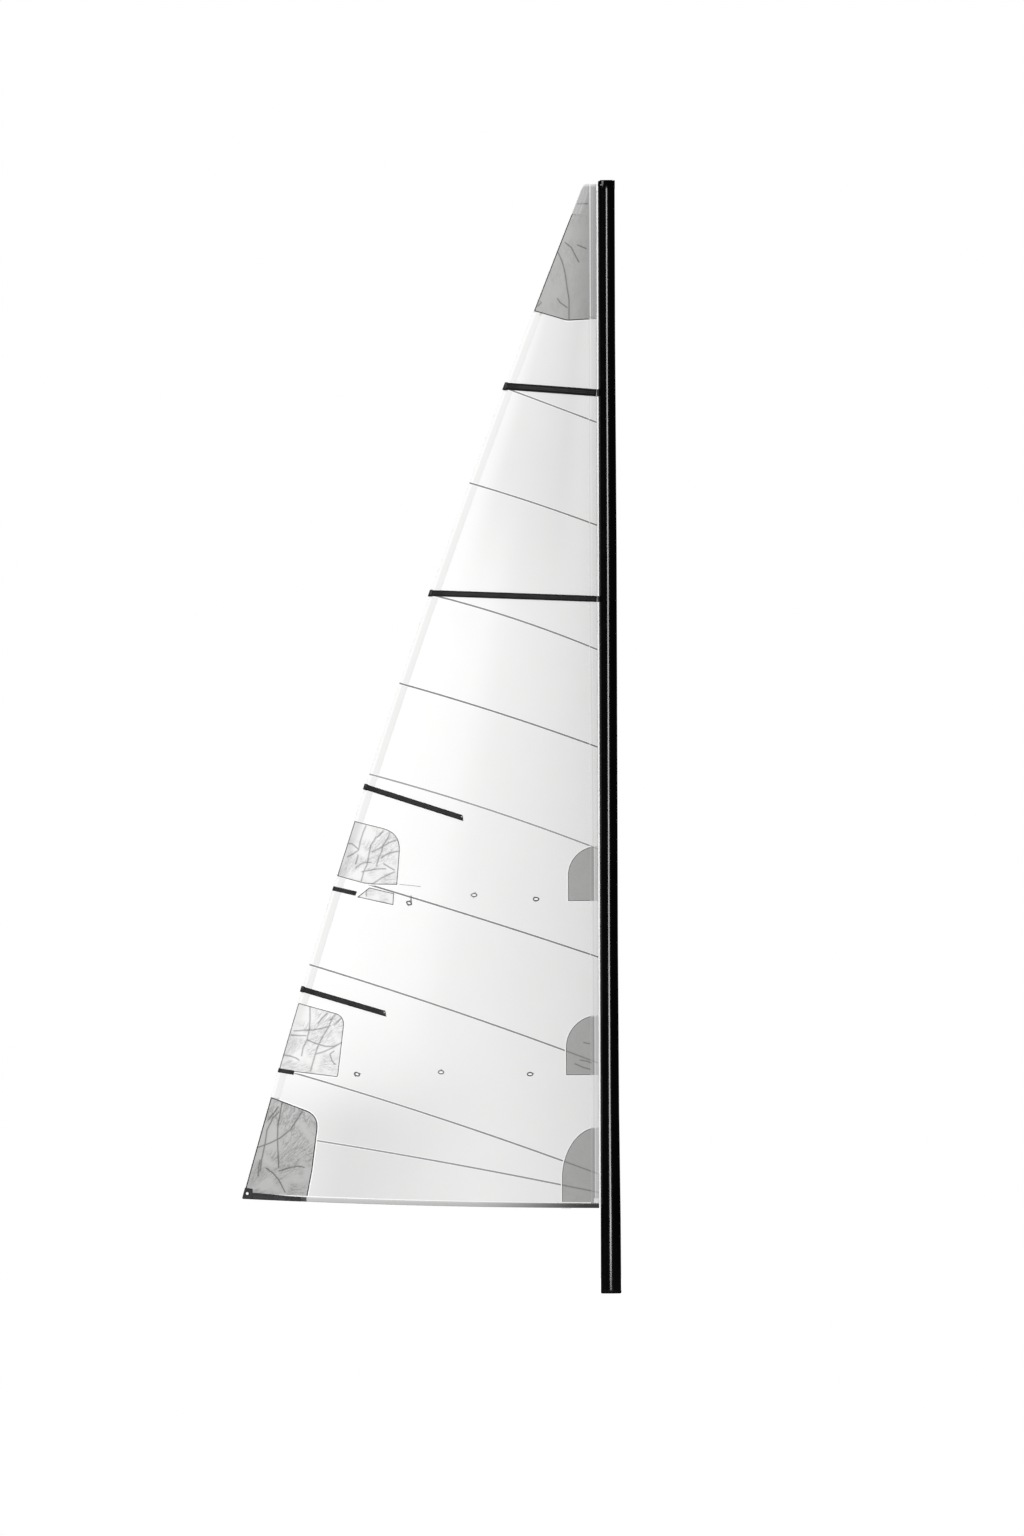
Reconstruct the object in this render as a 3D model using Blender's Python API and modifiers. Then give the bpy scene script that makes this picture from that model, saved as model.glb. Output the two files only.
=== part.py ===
"""A battened cross-cut mainsail set on its mast, in metres, +Z up, with the bow towards +X.

The origin is the centre of the mast's foot. The sail flies aft of the mast, towards -X, and its
belly is to starboard, towards -Y. Its shape is a shallow cone: the luff and the chord of the
leech meet at an apex above the head, and every straight ray from there lies in the cloth. The
cloth is bent along a fan of such rays, so each strip between two rays is flat, and the layers
sewn on it lie parallel to it.
"""
import math

import bmesh
import bpy
from mathutils import Matrix, Vector

# Mast section: height and fore and aft width at each station, from the foot up
MAST_STATIONS = (
    (0.0, 0.182),
    (0.65, 0.179),
    (1.60, 0.168),
    (3.10, 0.161),
    (6.60, 0.159),
    (8.40, 0.151),
)
MAST_TOP_CHORD = 0.150
MASTHEAD_RISE = 0.034
MAST_BREADTH = 0.112
MAST_WALL = 0.003
GROOVE_DIAMETER = 0.0115
GROOVE_MOUTH = 0.003
GROOVE_LIP = 0.0035
GROOVE_WALL = 0.0025
GROOVE_STEPS = 14
WALL_STEPS = 12
MAST_SIDES = 32
TAPER_FROM = 0.030

# Mast fittings
HEEL_HEIGHT = 0.030
HEEL_ROUNDING = 0.009
HEEL_SPIGOT = 0.060
CAP_HEIGHT = 0.082
CAP_ROUNDING = 0.007
CAP_SPIGOT = 0.060
CAP_AFT_CUT = 0.026
CAP_AFT_DROP = 0.013
CAP_ROOF = 0.008
SHEAVE_RADIUS = 0.028
SHEAVE_WIDTH = 0.012
SHEAVE_GROOVE = 0.005
SHEAVE_SLOT = 0.0126
SHEAVE_PROUD = 0.0015
HALYARD_ROOM = 0.007
PIN_RADIUS = 0.004
PIN_SIDES = 20
PIN_RECESS = 0.003
SHEAVE_STEPS = 28
FIT_GAP = 0.0003

# Bolt rope in the groove
ROPE_DIAMETER = 0.0105
ROPE_WEB = 0.0008
ROPE_TOP_CLEARANCE = 0.008
ROPE_STEPS = 12
LUFF_OFFSET = 0.014
WEB_TIP_GAP = 0.0009

# Sail outline, heights above the tack and distances aft of the luff
TACK_HEIGHT = 0.755
LUFF_LENGTH = 9.043
HEAD_WIDTH = 0.116
FOOT_LENGTH = 3.143
CLEW_RISE = 0.124
FOOT_RISE = 0.090
LEECH_ROACH = 0.140
FOOT_ROUND = 0.015
CAMBER_RATIO = 0.085
RAY_COUNT = 24
RAY_SPREAD = 0.400
LEECH_STEPS = 24
FOOT_STEPS = 12

# Cloth layers, as distances from the middle of the cloth
CLOTH_HALF = 0.0002
LAYER_GAP = 0.0003
SEAM_GAP = 0.0003
HEADBOARD_HALF = 0.0008
PATCH_OUTER = 0.0018
TAPE_THICKNESS = 0.0006
FOLD_THICKNESS = 0.0006
EDGE_INSET = 0.0010
LUFF_TAPE_WIDTH = 0.072
LEECH_TAPE_WIDTH = 0.084
FOOT_TAPE_WIDTH = 0.042
WEBBING_THICKNESS = 0.0009

# Seams: height above the tack at the luff, rise per metre towards the leech, and bow at the middle
SEAMS = (
    (0.137, 0.182, 0.024),
    (0.299, 0.333, 0.033),
    (1.279, 0.344, 0.026),
    (2.216, 0.316, 0.014),
    (3.171, 0.330, 0.031),
    (4.070, 0.325, 0.019),
    (4.930, 0.333, 0.031),
    (6.028, 0.336, 0.011),
    (6.937, 0.379, 0.0),
    (7.850, 0.320, 0.0),
)

# Head
HEADBOARD_HEIGHT = 0.168
HEADBOARD_MARGIN = 0.004
HEAD_PATCH_LUFF = 1.193
HEAD_PATCH_LOW = 1.208
HEAD_PATCH_LOW_AFT = 0.262
HEAD_PATCH_LEECH = 1.121
HEAD_PATCH_ROUNDING = 0.15

# Patches at the luff: width, top, bottom and height of the rounded corner
LUFF_PATCHES = {
    "tack_patch": (0.326, 0.715, None, 0.450),
    "reef_1_tack_patch": (0.288, 1.704, 1.175, 0.284),
    "reef_2_tack_patch": (0.266, 3.197, 2.712, 0.257),
}

# Patches at the leech: distance in from the leech, height above the tack, and rounding
CLEW_PATCH = ((0.0, 0.988, 0.0), (0.475, 0.828, 0.16), (0.552, 0.343, 0.0))
CLEW_PATCH_FOOT = 0.569
REEF_1_CLEW_PATCH = ((0.0, 1.818, 0.0), (0.450, 1.705, 0.11), (0.546, 1.163, 0.02), (0.0, 1.227, 0.0))
REEF_2_CLEW_PATCH = (
    (0.0, 3.423, 0.0),
    (0.448, 3.320, 0.20),
    (0.560, 2.866, 0.0),
    (0.578, 2.681, 0.01),
    (0.240, 2.756, 0.0),
    (0.0, 2.830, 0.0),
)

# Batten pockets: line height at the luff, rise per metre, inner end aft of the luff, width
POCKETS = (
    (7.198, 0.076, 0.030, 0.064),
    (5.378, 0.038, 0.030, 0.054),
    (3.063, 0.322, 1.191, 0.048),
    (1.167, 0.2955, 1.876, 0.048),
)
POCKET_WALL = 0.0007
POCKET_MARGIN = 0.006
POCKET_SETBACK = 0.020
POCKET_END = 0.012
BATTEN_THICKNESS = 0.0035
BATTEN_WIDTH = 0.026
BATTEN_PLAY = 0.0028
BATTEN_END_PLAY = 0.003
BATTEN_STEPS = 14
END_CAP_PROUD = 0.015
END_CAP_MARGIN = 0.003
END_CAP_WALL = 0.012

# Black webbing at the reef clews: height above the tack, length, width and rise per metre
REEF_STRAPS = (
    ("reef_1_clew_strap", 1.225, 0.140, 0.036, -0.16),
    ("reef_2_clew_strap", 2.830, 0.205, 0.038, -0.23),
)

# Clew
CLEW_COVER_LENGTH = 0.094
CLEW_COVER_HEIGHT = 0.190
CLEW_COVER_FRONT = 0.178
CLEW_COVER_ROUNDING = 0.012
CLEW_RING_FROM_CORNER = 0.046
CLEW_RING_RISE = 0.046
CLEW_RING_FLANGE = 0.021
CLEW_RING_BARREL = 0.015
CLEW_RING_HOLE = 0.012
CLEW_STRAP_LENGTH = 0.430
CLEW_STRAP_AFT_HEIGHT = 0.060
CLEW_STRAP_FRONT_HEIGHT = 0.040

# Tack
TACK_WEBBING_WIDTH = 0.045
TACK_WEBBING_HEIGHT = 0.044

# Reef eyelets: distance aft of the luff, height above the tack, and turn in degrees
REEF_EYELETS = {
    "reef_eyelet_1_1": (2.133, 1.189, -25.0),
    "reef_eyelet_1_2": (1.392, 1.205, 0.0),
    "reef_eyelet_1_3": (0.606, 1.185, 0.0),
    "reef_eyelet_2_1": (1.670, 2.698, -25.0),
    "reef_eyelet_2_2": (1.096, 2.767, 0.0),
    "reef_eyelet_2_3": (0.549, 2.730, 0.0),
}
EYELET_LENGTH = 0.058
EYELET_HEIGHT = 0.038
EYELET_RIM = 0.008
EYELET_BARREL_WALL = 0.003
RING_FLANGE = 0.0010
ROUND_STEPS = 16
FILLET_STEPS = 5
PATCH_CORNER_STEPS = 7

# Worked out from the sizes above
MAST_AFT_X = -MAST_STATIONS[0][1] / 2
LUFF_X = MAST_AFT_X - LUFF_OFFSET
HEAD_Z = TACK_HEIGHT + LUFF_LENGTH
MAST_LENGTH = HEAD_Z + MASTHEAD_RISE
CLEW_Z = TACK_HEIGHT + CLEW_RISE
LEECH_SLOPE = (FOOT_LENGTH - HEAD_WIDTH) / (HEAD_Z - CLEW_Z)
APEX_Z = HEAD_Z + HEAD_WIDTH / LEECH_SLOPE
RAY_STEP = RAY_SPREAD / RAY_COUNT
PATCH_INNER = CLOTH_HALF + LAYER_GAP
HEAD_PATCH_INNER = HEADBOARD_HALF + LAYER_GAP
TAPE_INNER = PATCH_OUTER + LAYER_GAP
TAPE_OUTER = TAPE_INNER + TAPE_THICKNESS
WEBBING_INNER = TAPE_OUTER + LAYER_GAP
WEBBING_OUTER = WEBBING_INNER + WEBBING_THICKNESS
POCKET_BASE = WEBBING_INNER + POCKET_WALL
BATTEN_MIDDLE = POCKET_BASE + BATTEN_PLAY + BATTEN_THICKNESS / 2
POCKET_COVER = POCKET_BASE + 2 * BATTEN_PLAY + BATTEN_THICKNESS
POCKET_OUTER = POCKET_COVER + POCKET_WALL
GROOVE_RADIUS = GROOVE_DIAMETER / 2
GROOVE_X = MAST_AFT_X + GROOVE_LIP + GROOVE_RADIUS
TUBE_BASE = HEEL_HEIGHT + FIT_GAP
CAP_BASE = MAST_LENGTH - CAP_HEIGHT
TUBE_TOP = CAP_BASE - FIT_GAP
SHEAVE_X = MAST_AFT_X - SHEAVE_PROUD + SHEAVE_RADIUS
SHEAVE_Z = MAST_LENGTH - CAP_ROOF - HALYARD_ROOM - SHEAVE_RADIUS
STARBOARD = "starboard"
PORT = "port"
OVERRUN = 0.1
PUNCH_REACH = 0.05
TOLERANCE = 0.0001
MERGE_DISTANCE = 0.00002
FLAT_ANGLE = 0.0005
SEARCH_STEPS = 40


# Scene, collections and materials

def clear_scene():
    """Remove every object that the open file holds."""
    for old in list(bpy.data.objects):
        bpy.data.objects.remove(old, do_unlink=True)


def new_collection(name):
    """Make a collection under the scene's own and return it."""
    collection = bpy.data.collections.new(name)
    bpy.context.scene.collection.children.link(collection)
    return collection


def new_material(name, colour, roughness, metallic=0.0):
    """Make a Principled material and return it."""
    material = bpy.data.materials.new(name)
    material.use_nodes = True
    shader = material.node_tree.nodes["Principled BSDF"]
    shader.inputs["Base Color"].default_value = (*colour, 1.0)
    shader.inputs["Roughness"].default_value = roughness
    shader.inputs["Metallic"].default_value = metallic
    return material


clear_scene()
PARTS = new_collection("mainsail")
CUTTERS = new_collection("mainsail_cutters")
SAILCLOTH = new_material("sailcloth", (0.86, 0.86, 0.85), 0.7)
TAPE_CLOTH = new_material("tape_cloth", (0.74, 0.74, 0.73), 0.7)
PATCH_CLOTH = new_material("patch_cloth", (0.42, 0.42, 0.41), 0.7)
REEF_CLOTH = new_material("reef_patch_cloth", (0.74, 0.74, 0.73), 0.7)
BLACK_WEBBING = new_material("black_webbing", (0.03, 0.03, 0.03), 0.6)
BLACK_METAL = new_material("black_anodised", (0.01, 0.01, 0.01), 0.25, 0.6)
BLACK_PLASTIC = new_material("black_plastic", (0.02, 0.02, 0.02), 0.4)
ROPE_WHITE = new_material("rope", (0.8, 0.8, 0.78), 0.8)
GLASS_FIBRE = new_material("glass_fibre", (0.75, 0.72, 0.6), 0.45)
STEEL = new_material("stainless_steel", (0.55, 0.55, 0.56), 0.3, 1.0)
EYELET_METAL = new_material("eyelet_metal", (0.42, 0.42, 0.43), 0.35, 0.9)


# Object helpers

def new_object(name, mesh, material, parent=None, collection=None):
    """Put a mesh in the scene as a named object and return it."""
    obj = bpy.data.objects.new(name, mesh)
    (collection or PARTS).objects.link(obj)
    if material is not None:
        mesh.materials.append(material)
    obj.parent = parent
    return obj


def new_empty(name, place, parent=None):
    """Make an empty that marks a joint."""
    empty = bpy.data.objects.new(name, None)
    PARTS.objects.link(empty)
    empty.parent = parent
    empty.location = place
    empty.empty_display_size = 0.1
    return empty


def make_cutter(obj):
    """Show an object as wire only, and keep it out of the part."""
    PARTS.objects.unlink(obj)
    CUTTERS.objects.link(obj)
    obj.display_type = "WIRE"
    obj.hide_render = True
    return obj


def cut(obj, cutter, operation="DIFFERENCE"):
    """Add a Boolean modifier to an object."""
    modifier = obj.modifiers.new(operation.lower() + "_" + cutter.name, "BOOLEAN")
    modifier.operation = operation
    modifier.solver = "EXACT"
    modifier.object = cutter
    return obj


def smooth(obj, angle=35.0):
    """Shade a mesh smooth, with edges sharper than the angle kept."""
    obj.data.shade_smooth()
    obj.data.set_sharp_from_angle(angle=math.radians(angle))
    return obj


def prism(name, loops, height, material, parent=None):
    """Extrude closed flat outlines along +Z from 0, inner outlines becoming holes."""
    curve = bpy.data.curves.new(name, "CURVE")
    curve.dimensions = "2D"
    curve.fill_mode = "BOTH"
    curve.extrude = height / 2
    curve.render_resolution_u = 0
    for loop in loops:
        spline = curve.splines.new("POLY")
        spline.points.add(len(loop) - 1)
        for point, place in zip(spline.points, loop):
            point.co = (place[0], place[1], 0.0, 1.0)
        spline.use_cyclic_u = True
    holder = bpy.data.objects.new(name, curve)
    PARTS.objects.link(holder)
    evaluated = holder.evaluated_get(bpy.context.evaluated_depsgraph_get())
    mesh = bpy.data.meshes.new_from_object(evaluated)
    bpy.data.objects.remove(holder)
    mesh.materials.clear()
    shape = bmesh.new()
    shape.from_mesh(mesh)
    bmesh.ops.remove_doubles(shape, verts=shape.verts, dist=MERGE_DISTANCE)
    bmesh.ops.translate(shape, verts=shape.verts, vec=(0.0, 0.0, height / 2))
    if len(loops) == 1:
        edges = shape.edges[:]
        verts = shape.verts[:]
        bmesh.ops.dissolve_limit(shape, angle_limit=FLAT_ANGLE, verts=verts, edges=edges)
    bmesh.ops.recalc_face_normals(shape, faces=shape.faces)
    shape.to_mesh(mesh)
    shape.free()
    return new_object(name, mesh, material, parent)


def edit_mesh(obj, change):
    """Run a function on an object's mesh as a bmesh."""
    shape = bmesh.new()
    shape.from_mesh(obj.data)
    change(shape)
    shape.to_mesh(obj.data)
    shape.free()


def oval(u, z, length, height, turn=0.0, steps=ROUND_STEPS):
    """Points of an oval about (u, z), turned by an angle in degrees."""
    points = []
    turned = math.radians(turn)
    for step in range(steps):
        angle = 2 * math.pi * (step + 0.5) / steps
        along = length / 2 * math.cos(angle)
        across = height / 2 * math.sin(angle)
        around = along * math.cos(turned) - across * math.sin(turned)
        up = along * math.sin(turned) + across * math.cos(turned)
        points.append((u - around, z + up))
    return points


def fillet(corners, steps=FILLET_STEPS):
    """Round the corners of an outline given as (u, z, radius), open at both ends."""
    points = [corners[0][:2]]
    for index in range(1, len(corners) - 1):
        before = Vector(corners[index - 1][:2])
        here = Vector(corners[index][:2])
        after = Vector(corners[index + 1][:2])
        radius = corners[index][2]
        if radius == 0.0:
            points.append(tuple(here))
            continue
        back = (before - here).normalized()
        ahead = (after - here).normalized()
        half = back.angle(ahead) / 2
        reach = radius / math.tan(half)
        start = here + back * reach
        end = here + ahead * reach
        for step in range(steps + 1):
            share = step / steps
            near = start.lerp(here, share)
            far = here.lerp(end, share)
            points.append(tuple(near.lerp(far, share)))
    points.append(corners[-1][:2])
    return points


# Outline of the sail, in distance aft of the luff (u) and height (z)

def leech_smooth(z):
    """Distance from the luff line to the leech at a height, roach included."""
    share = (z - CLEW_Z) / (HEAD_Z - CLEW_Z)
    chord = FOOT_LENGTH + (HEAD_WIDTH - FOOT_LENGTH) * share
    return chord + 4 * LEECH_ROACH * share * (1 - share)


def foot_smooth(u):
    """Height of the foot at a distance aft of the luff."""
    share = u / FOOT_LENGTH
    return TACK_HEIGHT + FOOT_RISE * share - 4 * FOOT_ROUND * share * (1 - share)


LEECH_STEP = (HEAD_Z - TACK_HEIGHT) / LEECH_STEPS
FOOT_STEP = (FOOT_LENGTH + LEECH_TAPE_WIDTH) / FOOT_STEPS
LEECH_KNOTS = [TACK_HEIGHT + LEECH_STEP * step for step in range(LEECH_STEPS + 1)]
FOOT_KNOTS = [FOOT_STEP * step for step in range(FOOT_STEPS + 1)]


def on_knots(value, knots, function):
    """Read a smooth function as straight runs between its knots."""
    step = knots[1] - knots[0]
    index = min(max(int((value - knots[0]) / step), 0), len(knots) - 2)
    share = (value - knots[index]) / step
    low = function(knots[index])
    high = function(knots[index + 1])
    return low + (high - low) * share


def leech_u(z):
    """Distance aft of the luff to the leech at a height."""
    return on_knots(z, LEECH_KNOTS, leech_smooth)


def foot_z(u):
    """Height of the foot at a distance aft of the luff."""
    return on_knots(u, FOOT_KNOTS, foot_smooth)


def run(start, end, knots, place):
    """Points from start to end along a line with knots, through a place function."""
    low = min(start, end) + TOLERANCE
    high = max(start, end) - TOLERANCE
    between = [knot for knot in knots if low < knot < high]
    between.sort(reverse=start > end)
    return [place(value) for value in [start, *between, end]]


def leech_run(start, end, inset):
    """Points along the leech from one height to another, moved in from it."""
    return run(start, end, LEECH_KNOTS, lambda z: (leech_u(z) - inset, z))


def foot_run(start, end, lift):
    """Points along the foot from one distance aft to another, moved up from it."""
    return run(start, end, FOOT_KNOTS, lambda u: (u, foot_z(u) + lift))


def meet_leech(height_at, inset=0.0):
    """Height at which a line, given as a function of u, meets the leech."""
    u = FOOT_LENGTH
    for _ in range(SEARCH_STEPS):
        u = leech_u(height_at(u)) - inset
    return height_at(u)


CORNER_Z = meet_leech(foot_z)
CORNER_U = leech_u(CORNER_Z)


# Shape of the cloth

def camber_profile(slope):
    """Depth of the camber on the ray of a slope, as a share of the distance to the apex."""
    half = LEECH_SLOPE / 2
    depth = CAMBER_RATIO * LEECH_SLOPE
    radius = (half * half + depth * depth) / (2 * depth)
    return math.sqrt(radius * radius - (slope - half) ** 2) - (radius - depth)


def cloth_y(u, z, faceted=True):
    """Y of the middle of the cloth, flat between two rays, or on the smooth shape."""
    down = APEX_Z - z
    slope = u / down
    if not faceted:
        return -down * camber_profile(slope)
    index = min(max(math.floor(slope / RAY_STEP), 0), RAY_COUNT - 1)
    low = camber_profile(index * RAY_STEP)
    high = camber_profile((index + 1) * RAY_STEP)
    share = slope / RAY_STEP - index
    return -down * (low + (high - low) * share)


def sheet(name, outline, low, high, material=None, side=PORT):
    """Make a layer of cloth inside an outline of (u, z), between two distances from the middle.

    The outline is split along the rays and bent to the cloth's shape, then given its thickness
    along Y. The layer lies on the port side, or is turned over to the starboard side.
    """
    shape = bmesh.new()
    corners = [shape.verts.new((-u, 0.0, z)) for u, z in outline]
    shape.faces.new(corners)
    apex = (0.0, 0.0, APEX_Z)
    for index in range(1, RAY_COUNT):
        normal = Vector((1.0, 0.0, -index * RAY_STEP)).normalized()
        everything = shape.verts[:] + shape.edges[:] + shape.faces[:]
        bmesh.ops.bisect_plane(
            shape, geom=everything, dist=MERGE_DISTANCE, plane_co=apex, plane_no=normal
        )
    offset = -max(low, high) if side == STARBOARD else min(low, high)
    for vertex in shape.verts:
        vertex.co.y = cloth_y(-vertex.co.x, vertex.co.z) + offset
    grown = bmesh.ops.extrude_face_region(shape, geom=shape.faces[:])
    raised = [item for item in grown["geom"] if isinstance(item, bmesh.types.BMVert)]
    bmesh.ops.translate(shape, verts=raised, vec=(0.0, abs(high - low), 0.0))
    bmesh.ops.recalc_face_normals(shape, faces=shape.faces)
    mesh = bpy.data.meshes.new(name)
    shape.to_mesh(mesh)
    shape.free()
    return new_object(name, mesh, material, SAIL_HINGE)


def folded(name, outline, inside, inner, outer, material, hole=None):
    """Make cloth folded round an edge: an outline on both faces, hollow where the edge lies."""
    obj = sheet(name, outline, -outer, outer, material)
    if hole is not None:
        cut(obj, hole)
    hollow = make_cutter(sheet(name + "_hollow", inside, -inner, inner))
    return cut(obj, hollow)


def punch(name, outline):
    """Make a straight cutter along Y that goes right through the cloth inside an outline."""
    middle = sum(cloth_y(u, z) for u, z in outline) / len(outline)
    shape = bmesh.new()
    corners = [shape.verts.new((-u, middle - PUNCH_REACH, z)) for u, z in outline]
    grown = bmesh.ops.extrude_face_region(shape, geom=[shape.faces.new(corners)])
    raised = [item for item in grown["geom"] if isinstance(item, bmesh.types.BMVert)]
    bmesh.ops.translate(shape, verts=raised, vec=(0.0, 2 * PUNCH_REACH, 0.0))
    bmesh.ops.recalc_face_normals(shape, faces=shape.faces)
    mesh = bpy.data.meshes.new(name)
    shape.to_mesh(mesh)
    shape.free()
    return make_cutter(new_object(name, mesh, None, SAIL_HINGE))


def ring(name, rim, barrel, hole, inner, material):
    """Make a pressed ring through the cloth, with a flange on each face, as a closed loft."""
    outer = inner + RING_FLANGE
    section = (
        (hole, outer),
        (rim, outer),
        (rim, inner),
        (barrel, inner),
        (barrel, -inner),
        (rim, -inner),
        (rim, -outer),
        (hole, -outer),
    )
    shape = bmesh.new()
    loops = []
    for outline, offset in section:
        loops.append([shape.verts.new((-u, cloth_y(u, z) + offset, z)) for u, z in outline])
    for index, loop in enumerate(loops):
        following = loops[(index + 1) % len(loops)]
        for step, vertex in enumerate(loop):
            ahead = (step + 1) % len(loop)
            shape.faces.new((vertex, loop[ahead], following[ahead], following[step]))
    bmesh.ops.recalc_face_normals(shape, faces=shape.faces)
    mesh = bpy.data.meshes.new(name)
    shape.to_mesh(mesh)
    shape.free()
    return smooth(new_object(name, mesh, material, SAIL_HINGE))


# Mast

def mast_chord(z):
    """Fore and aft width of the mast at a height, straight between its stations."""
    stations = [*MAST_STATIONS, (CAP_BASE, MAST_TOP_CHORD), (MAST_LENGTH, MAST_TOP_CHORD)]
    for (low, chord), (high, following) in zip(stations, stations[1:]):
        if z <= high:
            return chord + (following - chord) * (z - low) / (high - low)
    return MAST_TOP_CHORD


def ellipse_points(chord, breadth, steps, start=0.0):
    """Points of an ellipse whose aft end lies on the mast's aft face."""
    centre = MAST_AFT_X + chord / 2
    points = []
    for step in range(steps):
        angle = start + 2 * math.pi * step / steps
        points.append((centre + chord / 2 * math.cos(angle), breadth / 2 * math.sin(angle)))
    return points


def groove_outline():
    """Mast outline at the head, running in through the mouth and round the groove."""
    half = GROOVE_MOUTH / 2
    around = ellipse_points(MAST_TOP_CHORD, MAST_BREADTH, MAST_SIDES, math.pi)
    outside = [point for point in around if abs(point[1]) > half]
    swing = math.asin(half / GROOVE_RADIUS)
    inside = []
    for step in range(GROOVE_STEPS + 1):
        angle = math.pi - swing - (2 * math.pi - 2 * swing) * step / GROOVE_STEPS
        inside.append((GROOVE_X + GROOVE_RADIUS * math.cos(angle), GROOVE_RADIUS * math.sin(angle)))
    return [(MAST_AFT_X, -half), *outside, (MAST_AFT_X, half), *inside]


def hollow_outline():
    """Hollow of the mast, which goes round the wall of the groove."""
    chord = MAST_TOP_CHORD - 2 * MAST_WALL
    breadth = MAST_BREADTH - 2 * MAST_WALL
    centre = MAST_AFT_X + MAST_TOP_CHORD / 2
    wall_radius = GROOVE_RADIUS + GROOVE_WALL
    clear_radius = wall_radius + FIT_GAP
    clear_x = MAST_AFT_X + MAST_WALL + 3 * FIT_GAP

    def in_ellipse(x, y):
        return ((x - centre) / (chord / 2)) ** 2 + (y / (breadth / 2)) ** 2 < 1.0

    def in_wall(x, y):
        return math.hypot(x - GROOVE_X, y) < clear_radius

    shell = []
    for step in range(MAST_SIDES):
        angle = -math.pi + 2 * math.pi * (step + 0.5) / MAST_SIDES
        point = (centre + chord / 2 * math.cos(angle), breadth / 2 * math.sin(angle))
        if not in_wall(*point) and point[0] > clear_x:
            shell.append(point)
    wall = []
    for step in range(1, WALL_STEPS):
        angle = math.pi - 2 * math.pi * step / WALL_STEPS
        point = (GROOVE_X + wall_radius * math.cos(angle), wall_radius * math.sin(angle))
        if in_ellipse(*point):
            wall.append(point)
    return [*shell, *wall]


def taper(obj, base):
    """Widen a mast piece forward of its groove to the chord at each height."""
    fixed = MAST_AFT_X + TAPER_FROM

    def change(shape):
        for vertex in shape.verts:
            if vertex.co.x > fixed:
                wanted = mast_chord(vertex.co.z + base) - TAPER_FROM
                made = MAST_TOP_CHORD - TAPER_FROM
                vertex.co.x = fixed + (vertex.co.x - fixed) * wanted / made

    edit_mesh(obj, change)


def mast_tube():
    """Make the extrusion, with its luff groove, hollow and taper."""
    obj = prism("mast_tube", [groove_outline(), hollow_outline()], TUBE_TOP - TUBE_BASE, BLACK_METAL)

    def split(shape):
        for height, _ in MAST_STATIONS[1:]:
            level = (0.0, 0.0, height - TUBE_BASE)
            everything = shape.verts[:] + shape.edges[:] + shape.faces[:]
            bmesh.ops.bisect_plane(shape, geom=everything, plane_co=level, plane_no=(0, 0, 1))

    edit_mesh(obj, split)
    taper(obj, TUBE_BASE)
    obj.location.z = TUBE_BASE
    return smooth(obj)


def spigot_outline():
    """Part of a fitting that goes inside the mast, forward of the groove's wall."""
    inner = MAST_TOP_CHORD - 2 * MAST_WALL - 2 * FIT_GAP
    breadth = MAST_BREADTH - 2 * MAST_WALL - 2 * FIT_GAP
    centre = MAST_AFT_X + MAST_TOP_CHORD / 2
    front_of_groove = GROOVE_X + GROOVE_RADIUS + GROOVE_WALL + 4 * FIT_GAP
    points = []
    for step in range(MAST_SIDES):
        angle = -math.pi + 2 * math.pi * (step + 0.5) / MAST_SIDES
        point = (centre + inner / 2 * math.cos(angle), breadth / 2 * math.sin(angle))
        if point[0] > front_of_groove:
            points.append(point)
    return points


def joined(obj, other):
    """Add another solid to an object, and keep the other as its hidden tool."""
    return cut(obj, make_cutter(other), "UNION")


def add_bevel(obj, width, only_above=None, only_below=None):
    """Round the edges of one end of a prism."""
    weights = obj.data.attributes.new("bevel_weight_edge", "FLOAT", "EDGE")
    for edge in obj.data.edges:
        heights = [obj.data.vertices[index].co.z for index in edge.vertices]
        above = only_above is not None and min(heights) > only_above
        below = only_below is not None and max(heights) < only_below
        weights.data[edge.index].value = 1.0 if above or below else 0.0
    bevel = obj.modifiers.new("rounding", "BEVEL")
    bevel.limit_method = "WEIGHT"
    bevel.width = width
    bevel.segments = 2
    return obj


def mast_heel_plug():
    """Make the plug that closes the foot and stands the mast up."""
    outline = ellipse_points(MAST_TOP_CHORD, MAST_BREADTH, MAST_SIDES)
    obj = prism("mast_heel_plug", [outline], HEEL_HEIGHT, BLACK_PLASTIC)
    taper(obj, 0.0)
    add_bevel(obj, HEEL_ROUNDING, only_below=HEEL_HEIGHT / 2)
    spigot = prism("heel_spigot", [spigot_outline()], HEEL_HEIGHT / 2 + HEEL_SPIGOT, None)
    spigot.location.z = HEEL_HEIGHT / 2
    taper(spigot, spigot.location.z)
    joined(obj, spigot)
    return smooth(obj)


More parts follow.
